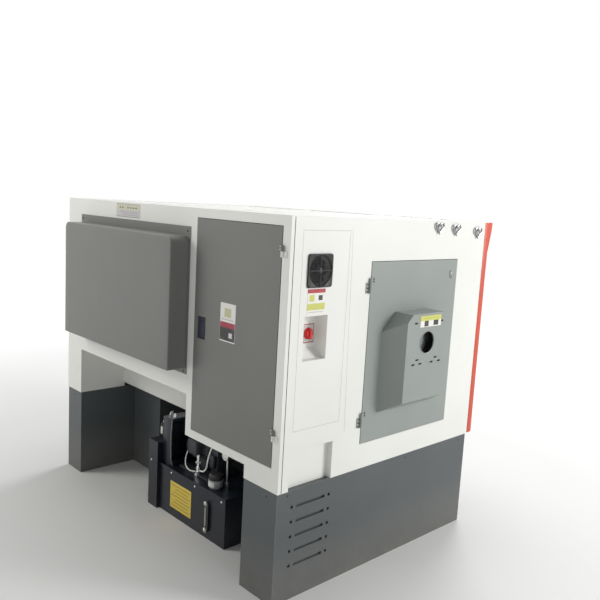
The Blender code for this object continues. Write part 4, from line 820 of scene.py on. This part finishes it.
def buildValves():
    # the relief valve's column, turned in steps
    valve = (0.885, 0.205)
    steps = [(0.2868, 0.0165), (0.302, 0.0165), (0.303, 0.012), (0.314, 0.012), (0.315, 0.0145),
        (0.327, 0.0145), (0.328, 0.0095), (0.348, 0.0095), (0.349, 0.0125), (0.3565, 0.0125), (0.3575, 0.0088),
        (0.378, 0.0088), (0.379, 0.011), (0.392, 0.0105), (0.395, 0.006)]
    addPiece("valveColumn", spun(upright, valve, steps, 20), "chrome", "hpu_motor")
    ring = spun(upright, valve, [(0.348, 0.015), (0.349, 0.016), (0.3555, 0.016), (0.3565, 0.015)], 28)
    foot = spun(upright, valve, [(0.2755, 0.02), (0.285, 0.02), (0.287, 0.018)], 6)
    addPiece("valveRing", join(ring, foot), "plasticPale", "hpu_motor")
    # a small pressure vessel on the tank's raised end, with a pale cap and a film bent round it
    vessel = (1.236, 0.205)
    side = [(0.3953, 0.014), (0.402, 0.014), (0.403, 0.0205), (0.41, 0.0225), (0.47, 0.0225), (0.48, 0.02),
        (0.484, 0.012)]
    addPiece("smallVessel", spun(upright, vessel, side, 32), "plasticBlack", "hpu_tank")
    cap = spun(upright, vessel, [(0.4835, 0.0105), (0.492, 0.0105), (0.495, 0.008)], 20)
    film = bentFilm(upright, vessel, 0.0227, 0.0231, 180 - np.linspace(215, 300, 12), (0.418, 0.462))
    addPiece("vesselFilm", join(cap, film), "plasticPale", "hpu_tank")


def buildHoses():
    # held at both ends; each is a smooth path through the places where it bends
    hoses = {
        "returnHose": (0.004, "hoseWhite", [
            (0.735, 0.235, 0.595), (0.742, 0.22, 0.53), (0.772, 0.205, 0.46), (0.79, 0.2, 0.4), (0.808, 0.205, 0.345),
            (0.835, 0.205, 0.314), (0.862, 0.205, 0.307), (0.876, 0.205, 0.308)]),
        "gaugeHose": (0.0032, "hoseWhite", [
            (0.735, 0.25, 0.595), (0.73, 0.262, 0.53), (0.718, 0.268, 0.475), (0.704, 0.268, 0.425),
            (0.693, 0.262, 0.392), (0.685, 0.252, 0.378)]),
        "lidHose": (0.0036, "hoseWhite", [
            (1.02, 0.235, 0.39), (1.022, 0.215, 0.34), (1.0, 0.2, 0.3), (0.955, 0.192, 0.287), (0.92, 0.196, 0.289),
            (0.897, 0.203, 0.297)]),
        "coolerHose": (0.004, "hoseGrey", [
            (1.128, 0.19, 0.568), (1.118, 0.18, 0.585), (1.095, 0.165, 0.582), (1.078, 0.152, 0.55),
            (1.074, 0.146, 0.48), (1.074, 0.146, 0.38), (1.074, 0.15, 0.31), (1.074, 0.16, 0.277)]),
        "feedHose": (0.011, "hoseBlack", [
            (0.83, 0.315, 0.438), (0.83, 0.32, 0.5), (0.845, 0.335, 0.57), (0.88, 0.37, 0.64), (0.93, 0.42, 0.655),
            (0.96, 0.4385, 0.655)]),
        "drainHose": (0.013, "hoseBlack", [
            (0.6, 0.4, 0.277), (0.6, 0.405, 0.34), (0.61, 0.415, 0.42), (0.63, 0.428, 0.49), (0.66, 0.4385, 0.545)]),
    }
    for name, (radius, look, places) in hoses.items():
        path = smoothPath([spot(*p) for p in places], 44)
        addPiece(name, swept(path, radius, 12), look, "hpu_motor")
    nut = spun(upright, (0.6, 0.4), [(0.2745, 0.019), (0.292, 0.019), (0.297, 0.015)], 6)
    addPiece("hoseNuts", nut, "zinc", "hpu_motor")


def buildControls():
    panel = dict(s=(1.5, 2.045), z=(1.07, 1.62), thick=0.0077, row=0.065, stop=0.36, start=0.435)
    (s0, s1), (z0, z1), face = panel["s"], panel["z"], panel["thick"]
    mid, wide, high = (s0 + 0.01 + s1 - 0.07) / 2, s1 - s0 - 0.08, z1 - z0 - 0.02
    plate = pad(controlWall, (mid, (z0 + z1) / 2), (wide, high), 0.006,
        [(0.0, 0), (0.0062, 0), (0.0077, 0.0015)], 4)
    addPiece("controlPlate", plate, moulded("controlPlate", (0.052, 0.066, 0.086), 0.42), "control_face",
        replaces=True)
    bezel = bordered(controlWall, (s0 + 0.14, z0 + 0.415), roundedOutline(0.24, 0.19, 0.006),
        roundedOutline(0.206, 0.156, 0.003), [(0, face - 0.0005), (0, face + 0.0028), (0.12, face + 0.004),
        (0.9, face + 0.003), (1, face + 0.0008), (1, face - 0.0005)])
    addPiece("screenBezel", bezel, "plasticBlack", "control_face")
    x = machine["headEnd"] + s0
    bars = [((x + 0.044, x + 0.236, z0 + 0.48, z0 + 0.487), (0.05, 0.16, 0.1)),
        ((x + 0.05, x + 0.12, z0 + 0.365, z0 + 0.47), (0.02, 0.045, 0.035)),
        ((x + 0.13, x + 0.23, z0 + 0.43, z0 + 0.47), (0.028, 0.06, 0.075)),
        ((x + 0.13, x + 0.23, z0 + 0.365, z0 + 0.42), (0.02, 0.035, 0.05))]
    pane = printed("screenPicture", z0 + 0.33, z0 + 0.5, [(0.0, (0.01, 0.014, 0.015))], bars, True, 0.08)
    addPiece("screenPane", tile(controlWall, (s0 + 0.14, z0 + 0.415), (0.206, 0.156), 0.0012, base=face), pane,
        "control_face")

    soft = [tile(controlWall, (s0 + 0.048 + 0.0365 * k, z0 + 0.306), (0.026, 0.013), 0.0035, face - 0.0002,
        0.001, 0.003) for k in range(6)]
    addPiece("softKeys", join(*soft), "plasticGrey", "control_face")
    dataKeys = [tile(controlWall, (s0 + 0.289 + 0.036 * c, z0 + 0.313 + 0.034 * r), (0.027, 0.025), 0.0035,
        face - 0.0002, 0.0012, 0.003) for r in range(6) for c in range(5)]
    addPiece("dataKeys", join(*dataKeys), "plasticPale", "control_face")
    keyPlaces = [(r, c) for r in range(3) for c in range(11)]
    for name, look, picked in (("machineKeys", "plasticGrey", False), ("machineKeysDark", "plasticBlue", True)):
        places = [(r, c) for r, c in keyPlaces if ((r + c) % 5 == 0) == picked]
        keys = [tile(controlWall, (s0 + 0.044 + 0.0385 * c, z0 + 0.144 + 0.05 * r), (0.028, 0.028), 0.0035,
            face - 0.0002, 0.0012, 0.004) for r, c in places]
        addPiece(name, join(*keys), look, "control_face")
    lamps = [spun(controlWall, (s0 + 0.044 + 0.0385 * c, z0 + 0.1665 + 0.05 * r),
        [(face - 0.0004, 0.0022), (face + 0.0012, 0.002), (face + 0.0018, 0.001)], 10) for r, c in keyPlaces]
    addPiece("keyLamps", join(*lamps), "plasticGreen", "control_face")

    rowZ = z0 + panel["row"]
    ticks = []
    for centre, reach, spread, count in [(s0 + 0.05, 0.0235, 45, 3), (s0 + 0.12, 0.0235, 45, 3),
            (s0 + 0.19, 0.0235, 45, 3), (s0 + 0.27, 0.0305, 135, 11)]:
        for angle in np.radians(np.linspace(-spread, spread, count)):
            ticks.append(spun(controlWall, (centre + reach * np.sin(angle), rowZ + reach * np.cos(angle)),
                [(face - 0.0003, 0.0013), (face + 0.0003, 0.0012)], 8))
    addPiece("dialMarks", join(*ticks), "plasticPale", "control_face")

    for name, s, radius, look in (("selector_a", 0.05, 0.016, "plasticBlack"),
            ("selector_b", 0.12, 0.016, "plasticBlack"), ("selector_c", 0.19, 0.016, "plasticBlack"),
            ("override_dial", 0.27, 0.023, "plasticPale")):
        turn = np.linspace(0, 2 * np.pi, 96, endpoint=False)
        grip = radius * (0.8 + 0.035 * np.abs(np.sin(turn * 12)) ** 0.7)
        out = face + 0.0003
        shape = [spun(controlWall, (s0 + s, rowZ), [(out, radius), (out + 0.003, radius),
            (out + 0.0045, radius * 0.9)], 48), skin([controlWall(s0 + s + k * grip * np.cos(turn),
            rowZ + k * grip * np.sin(turn), out + o) for o, k in ((0.003, 1.0), (0.015, 0.96), (0.0165, 0.9))]),
            pad(controlWall, (s0 + s, rowZ + radius * 0.05), (0.0055, radius * 1.35), 0.0015,
            [(out + 0.012, 0), (out + 0.0186, 0), (out + 0.0194, 0.0008)], 3)]
        addPiece(name.replace("_", "") + "Knob", join(*shape), look, name, name, replaces=True)
    ring = spun(controlWall, (s0 + panel["stop"], rowZ), [(face - 0.0004, 0.027), (face + 0.0012, 0.027),
        (face + 0.0018, 0.026)], 48)
    addPiece("stopRing", ring, "plasticYellow", "control_face")
    stop = spun(controlWall, (s0 + panel["stop"], rowZ), [(face + 0.007, 0.0115), (face + 0.0095, 0.0115),
        (face + 0.01, 0.0185), (face + 0.015, 0.02), (face + 0.019, 0.0185), (face + 0.0212, 0.013),
        (face + 0.022, 0.004)], 48)
    addPiece("stopButton", stop, "plasticRed", "estop_button", "estop_button", replaces=True)
    collar = spun(controlWall, (s0 + panel["start"], rowZ), [(face - 0.0004, 0.0165), (face + 0.0026, 0.0165),
        (face + 0.0034, 0.0155), (face + 0.0034, 0.0128), (face + 0.0004, 0.0126)], 40)
    addPiece("startCollar", collar, "chrome", "control_face")
    start = spun(controlWall, (s0 + panel["start"], rowZ), [(face + 0.0056, 0.008), (face + 0.0085, 0.008),
        (face + 0.0086, 0.0118), (face + 0.0135, 0.0114), (face + 0.0143, 0.01)], 40)
    addPiece("startButton", start, "plasticBlack", "start_button", "start_button", replaces=True)


def buildFrontDoor():
    # the pane's rubber: a bead carried round the rounded window, standing in the door's opening
    for name, out in (("paneBeadOuter", 0.0315), ("paneBeadInner", 0.0045)):
        edge = roundedOutline(0.706, 0.666, 0.004, 3)
        addPiece(name, swept(frontWall(1.02 + edge[:, 0], 1.205 + edge[:, 1], out), 0.004, 8, loop=True),
            "rubber", "door_window", "front_door")
    places = [(s, z) for s in (0.615, 0.82, 1.02, 1.22, 1.445) for z in (0.79, 1.608)]
    places += [(s, z) for s in (0.615, 1.445) for z in (0.99, 1.4)]
    addPiece("frontDoorScrews", screws(frontWall, places, 0.033, 0.0045), "zinc", "front_door", "front_door")
    places = [(s, z) for s in (0.07, 0.32, 0.56) for z in (0.575, 1.1, 1.7)]
    places += [(s, z) for s in (0.85, 1.15, 1.45, 1.75, 2.02) for z in (0.575, 1.7)]
    addPiece("frontScrews", screws(frontWall, places, 0.0, 0.0045), "zinc", "front_frame")
    strip = block((0.0353, 2.0442), (1.4539, 1.457), (0.533, 0.546), 0.001)
    addPiece("frontTrim", strip, paint("frontTrimPaint", "trim", *whole), "front_frame")


def buildTailAndRoof():
    heads = [screws(tailWall, [(t, z) for t in (0.37, 0.725, 1.08) for z in (0.87, 1.43)], -0.0003, 0.005),
        screws(tailWall, [(t, z) for t in (0.05, 0.5, 0.95, 1.42) for z in (0.575, 1.7)], 0.0, 0.0045)]
    addPiece("tailScrews", join(*heads), "zinc", "tail_cover")
    places = [(s, t) for s in np.linspace(0.09, 1.99, 9) for t in (0.05, 1.4)]
    places += [(s, t) for s in (0.09, 1.99) for t in (0.4, 0.73, 1.06)]
    addPiece("roofScrews", screws(roofWall, places, 0.0, 0.0045), "zinc", "roof")
    seam = [pad(roofWall, (s, 0.725), (0.03, 1.37), 0.004, [(-0.0004, 0), (0.0022, 0), (0.003, 0.001)], 3)
        for s in (0.7, 1.38)]
    addPiece("roofSeams", join(*seam), paint("roofSeamPaint", "white", *whole), "roof")


def buildSpindle():
    axis = (machine["axisT"], machine["axisZ"])
    profile = [(-0.075, 0.058), (-0.073, 0.06), (-0.068, 0.072), (0.024, 0.072), (0.025, 0.07), (0.03, 0.045),
        (0.07, 0.045)]
    profile += [(0.07, 0.102), (0.072, 0.105)]
    for k in range(8):  # the pulley's grooves
        a = 0.0765 + 0.006 * k
        profile += [(a, 0.105), (a + 0.0016, 0.1015), (a + 0.0032, 0.1015), (a + 0.0048, 0.105)]
    profile += [(0.1285, 0.105), (0.13, 0.103), (0.13, 0.055), (0.561, 0.055), (0.563, 0.078), (0.585, 0.078),
        (0.585, 0.096), (0.588, 0.1), (0.606, 0.1), (0.607, 0.0985), (0.611, 0.0985), (0.612, 0.1),
        (0.661, 0.1), (0.6648, 0.0965), (0.6648, 0.034), (0.655, 0.033)]
    shape = spun(alongAxis, axis, profile, 96)
    addPiece("spindleAndChuck", shape, groundSteel("spindleSteel", (3.0, 260.0, 260.0), 0.2), "spindle",
        "spindle", replaces=True)
    bolts = []
    for angle in np.radians([30, 150, 270]):
        for turn in (-0.17, 0.17):
            centre = (axis[0] - 0.075 * np.cos(angle + turn), axis[1] + 0.075 * np.sin(angle + turn))
            bolts.append(spun(chuckFace, centre, [(-0.001, 0.0068), (0.003, 0.0068), (0.0036, 0.006),
                (0.0036, 0.0036), (0.001, 0.0034)], 18))
    addPiece("chuckBolts", join(*bolts), "steel", "spindle", "spindle")


def buildTurretDetails():
    centre = (machine["axisT"] - 0.3 * math.sqrt(0.5), machine["axisZ"] + 0.3 * math.sqrt(0.5))
    face = [spun(turretFace, centre, [(-0.0005, 0.045), (0.004, 0.045), (0.006, 0.042), (0.006, 0.018),
        (0.01, 0.016), (0.012, 0.012)], 48)]
    for k in range(8):
        angle = math.radians(45 * k)
        a, b = centre[0] - 0.078 * math.cos(angle), centre[1] + 0.078 * math.sin(angle)
        face.append(spun(turretFace, (a, b), [(-0.0005, 0.0062), (0.004, 0.0062), (0.0048, 0.0052),
            (0.0048, 0.003), (0.002, 0.0028)], 16))
    addPiece("turretCap", join(*face), groundSteel("turretCapSteel", (6.0, 300.0, 300.0), 0.22), "turret",
        "turret")
    tips = []
    for k in range(8):
        angle = math.radians(22.5 + 45 * k)
        radial = np.array([-math.cos(angle), math.sin(angle)])
        across = np.array([math.sin(angle), math.cos(angle)])
        corner = np.array([[0.158, 0.002], [0.15, 0.01], [0.142, 0.002], [0.15, -0.006]])
        where = np.array(centre) + corner[:, :1] * radial + corner[:, 1:] * across
        tips.append(skin([spot(s, where[:, 0], where[:, 1]) for s in (0.9585, 0.9645)]))
    addPiece("toolTips", join(*tips), "carbide", "turret", "turret")


def buildCabinetInside():
    ducts = []
    for s, z, w, h in ((0.38, 1.14, 0.56, 0.034), (0.38, 0.955, 0.56, 0.034), (0.655, 1.17, 0.034, 0.9),
            (0.095, 1.3, 0.02, 0.62)):
        level = [(0.0, 0), (0.05, 0), (0.052, 0.002)]
        ducts.append(pad(drivesWall, (s, z), (w, h), 0.002, level, 2))
    addPiece("cableDucts", join(*ducts), "plasticGrey", "drive_plate")
    fronts = []
    for s, z, w, h, out in ((0.18, 1.4, 0.112, 0.35, 0.154), (0.33, 1.4, 0.112, 0.35, 0.154),
            (0.52, 1.39, 0.19, 0.41, 0.184)):
        fronts.append(pad(drivesWall, (s, z), (w, h), 0.006, [(out - 0.002, 0), (out + 0.006, 0),
            (out + 0.009, 0.003)], 4))
    addPiece("driveFronts", join(*fronts), "plasticBlack", "drive_plate")
    small = [pad(drivesWall, (s, 1.53), (0.06, 0.03), 0.003, [(out + 0.0085, 0), (out + 0.01, 0),
        (out + 0.0106, 0.001)], 3) for s, out in ((0.18, 0.154), (0.33, 0.154), (0.52, 0.184))]
    addPiece("driveDisplays", join(*small), "plasticGreen", "drive_plate")
    levers = [block((0.122 + 0.055 * k, 0.143 + 0.055 * k), (0.2985, 0.311), (1.035, 1.055), 0.003)
        for k in range(9)]
    addPiece("breakerLevers", join(*levers), "plasticBlue", "drive_plate")
    # above and below each breaker a wire bends from its terminal back into the duct: (sideways, t, z)
    wires = []
    for k in range(9):
        for bends in (((0.0, 0.335, 1.089), (0.003, 0.325, 1.108), (0.002, 0.342, 1.124), (0.0, 0.354, 1.131)),
                ((0.0, 0.335, 1.001), (-0.004, 0.325, 0.985), (-0.002, 0.34, 0.972), (0.0, 0.354, 0.965))):
            route = smoothPath([spot(0.132 + 0.055 * k + s, t, z) for s, t, z in bends], 14)
            wires.append(swept(route, 0.0022, 7))
    addPiece("breakerWires", join(*wires), "plasticRed", "drive_plate")
    lamp = block((0.78, 1.3), (0.4405, 0.47), (1.655, 1.685), 0.008)
    addPiece("workLamp", lamp, moulded("lampDiffuser", (0.8, 0.8, 0.78), 0.3), "guard_rear")


def buildStage():
    span = 16.0
    corners = [[x * span, y * span, -0.0005] for x, y in ((-1, -1), (1, -1), (1, 1), (-1, 1))]
    mesh = bpy.data.meshes.new("studioFloor")
    mesh.from_pydata(corners, [], [[0, 1, 2, 3]])
    floor = bpy.data.objects.new("studioFloor", mesh)
    bpy.context.scene.collection.objects.link(floor)
    material, shader, place = startFinish("floorPaint", Roughness=0.75, Emission_Strength=1.0)
    # far away the floor gives its own light, so that it runs into the white behind it
    away = place.stretched((1.0, 1.0, 0.0)).node("ShaderNodeVectorMath", {"operation": "LENGTH"},
        {0: place.stretched((1.0, 1.0, 0.0))}, 1)
    far = ((away - studio["floorNear"]) * (1.0 / studio["floorBlend"])).clip()
    near = place.noise(0.8, 4.0).blend((0.8, 0.8, 0.79), (0.77, 0.77, 0.76))
    feed(shader, Base_Color=far.blend(near, (0.0, 0.0, 0.0)), Emission_Color=far.blend((0.0, 0.0, 0.0),
        (1.0, 1.0, 1.0)))
    mesh.materials.append(material)

    world = bpy.data.worlds.new("studio")
    bpy.context.scene.world = world
    world.use_nodes = True
    tree = world.node_tree
    output = next(n for n in tree.nodes if n.bl_idname == "ShaderNodeOutputWorld")
    fill = next(n for n in tree.nodes if n.bl_idname == "ShaderNodeBackground")
    fill.inputs["Color"].default_value = (0.96, 0.98, 1.0, 1)
    fill.inputs["Strength"].default_value = studio["fill"]
    paths = tree.nodes.new("ShaderNodeLightPath")
    seen = [Shade(tree, paths.outputs[k]) for k in ("Is Camera Ray", "Is Glossy Ray", "Is Transmission Ray")]
    backdrop = seen[0].node("ShaderNodeBackground", {}, {"Color": (1, 1, 1, 1), "Strength": 1.0})
    straight = seen[0].most(seen[1]).most(seen[2])
    mixed = seen[0].node("ShaderNodeMixShader", {}, {0: straight, 1: Shade(tree, fill.outputs[0]), 2: backdrop})
    tree.links.new(mixed.socket, output.inputs["Surface"])

    for name, place, size, power, colour in studio["lamps"]:
        lamp = bpy.data.lights.new(name, "AREA")
        lamp.shape, lamp.size, lamp.energy, lamp.color = "DISK", size, power, colour
        holder = bpy.data.objects.new(name, lamp)
        holder.location = place
        aim = np.array([0.0, 0.0, 0.9]) - np.array(place)
        holder.rotation_mode = "QUATERNION"
        holder.rotation_quaternion = mathutils.Vector(aim).to_track_quat("-Z", "Y")
        bpy.context.scene.collection.objects.link(holder)


studio = {
    "fill": 0.3, "floorNear": 2.2, "floorBlend": 3.0,
    "lamps": [("endLamp", (-6.0, -3.6, 3.3), 2.6, 305.0, (1.0, 0.995, 0.98)),
              ("rearLamp", (4.6, 5.2, 4.4), 3.0, 200.0, (1.0, 0.975, 0.93)),
              ("frontLamp", (2.5, -6.0, 4.0), 3.5, 260.0, (0.98, 0.99, 1.0)),
              ("topLamp", (0.0, 0.0, 6.0), 3.0, 70.0, (1.0, 1.0, 1.0))],
}
view = {"place": (-3.10461, 2.69561, 1.81459), "yaw": 46.59782, "pitch": -8.21136, "roll": 3.20199,
    "lens": 41.514}


def buildCamera():
    # the direction from yaw and pitch, then the picture turned about it by the roll
    yaw, pitch, roll = (math.radians(view[k]) for k in ("yaw", "pitch", "roll"))
    ahead = np.array([math.sin(yaw) * math.cos(pitch), -math.cos(yaw) * math.cos(pitch), math.sin(pitch)])
    right = np.cross(ahead, [0, 0, 1])
    right /= np.linalg.norm(right)
    up = np.cross(right, ahead)
    right, up = right * math.cos(roll) + up * math.sin(roll), up * math.cos(roll) - right * math.sin(roll)
    lens = bpy.data.cameras.new("view")
    lens.lens, lens.sensor_width, lens.sensor_fit = view["lens"], 36.0, "HORIZONTAL"
    lens.clip_end = 100.0
    camera = bpy.data.objects.new("view", lens)
    turn = np.eye(4)
    turn[:3, 0], turn[:3, 1], turn[:3, 2], turn[:3, 3] = right, up, -ahead, view["place"]
    camera.matrix_world = mathutils.Matrix(turn.tolist())
    bpy.context.scene.collection.objects.link(camera)
    bpy.context.scene.camera = camera
    bpy.context.scene.view_settings.view_transform = "Standard"


buildCamera()
buildStage()
print("camera, floor and lamps are in place")
finishNodes()
print("solids of the frame are finished")
for build in (buildFan, buildEndPlates, buildHooks, buildEndHardware, buildEndLock, buildRearCover,
        buildRearPlates, buildRearHardware, buildUnit, buildHoses, buildControls, buildFrontDoor,
        buildTailAndRoof, buildSpindle, buildTurretDetails, buildCabinetInside):
    build()
    print("made:", build.__name__)
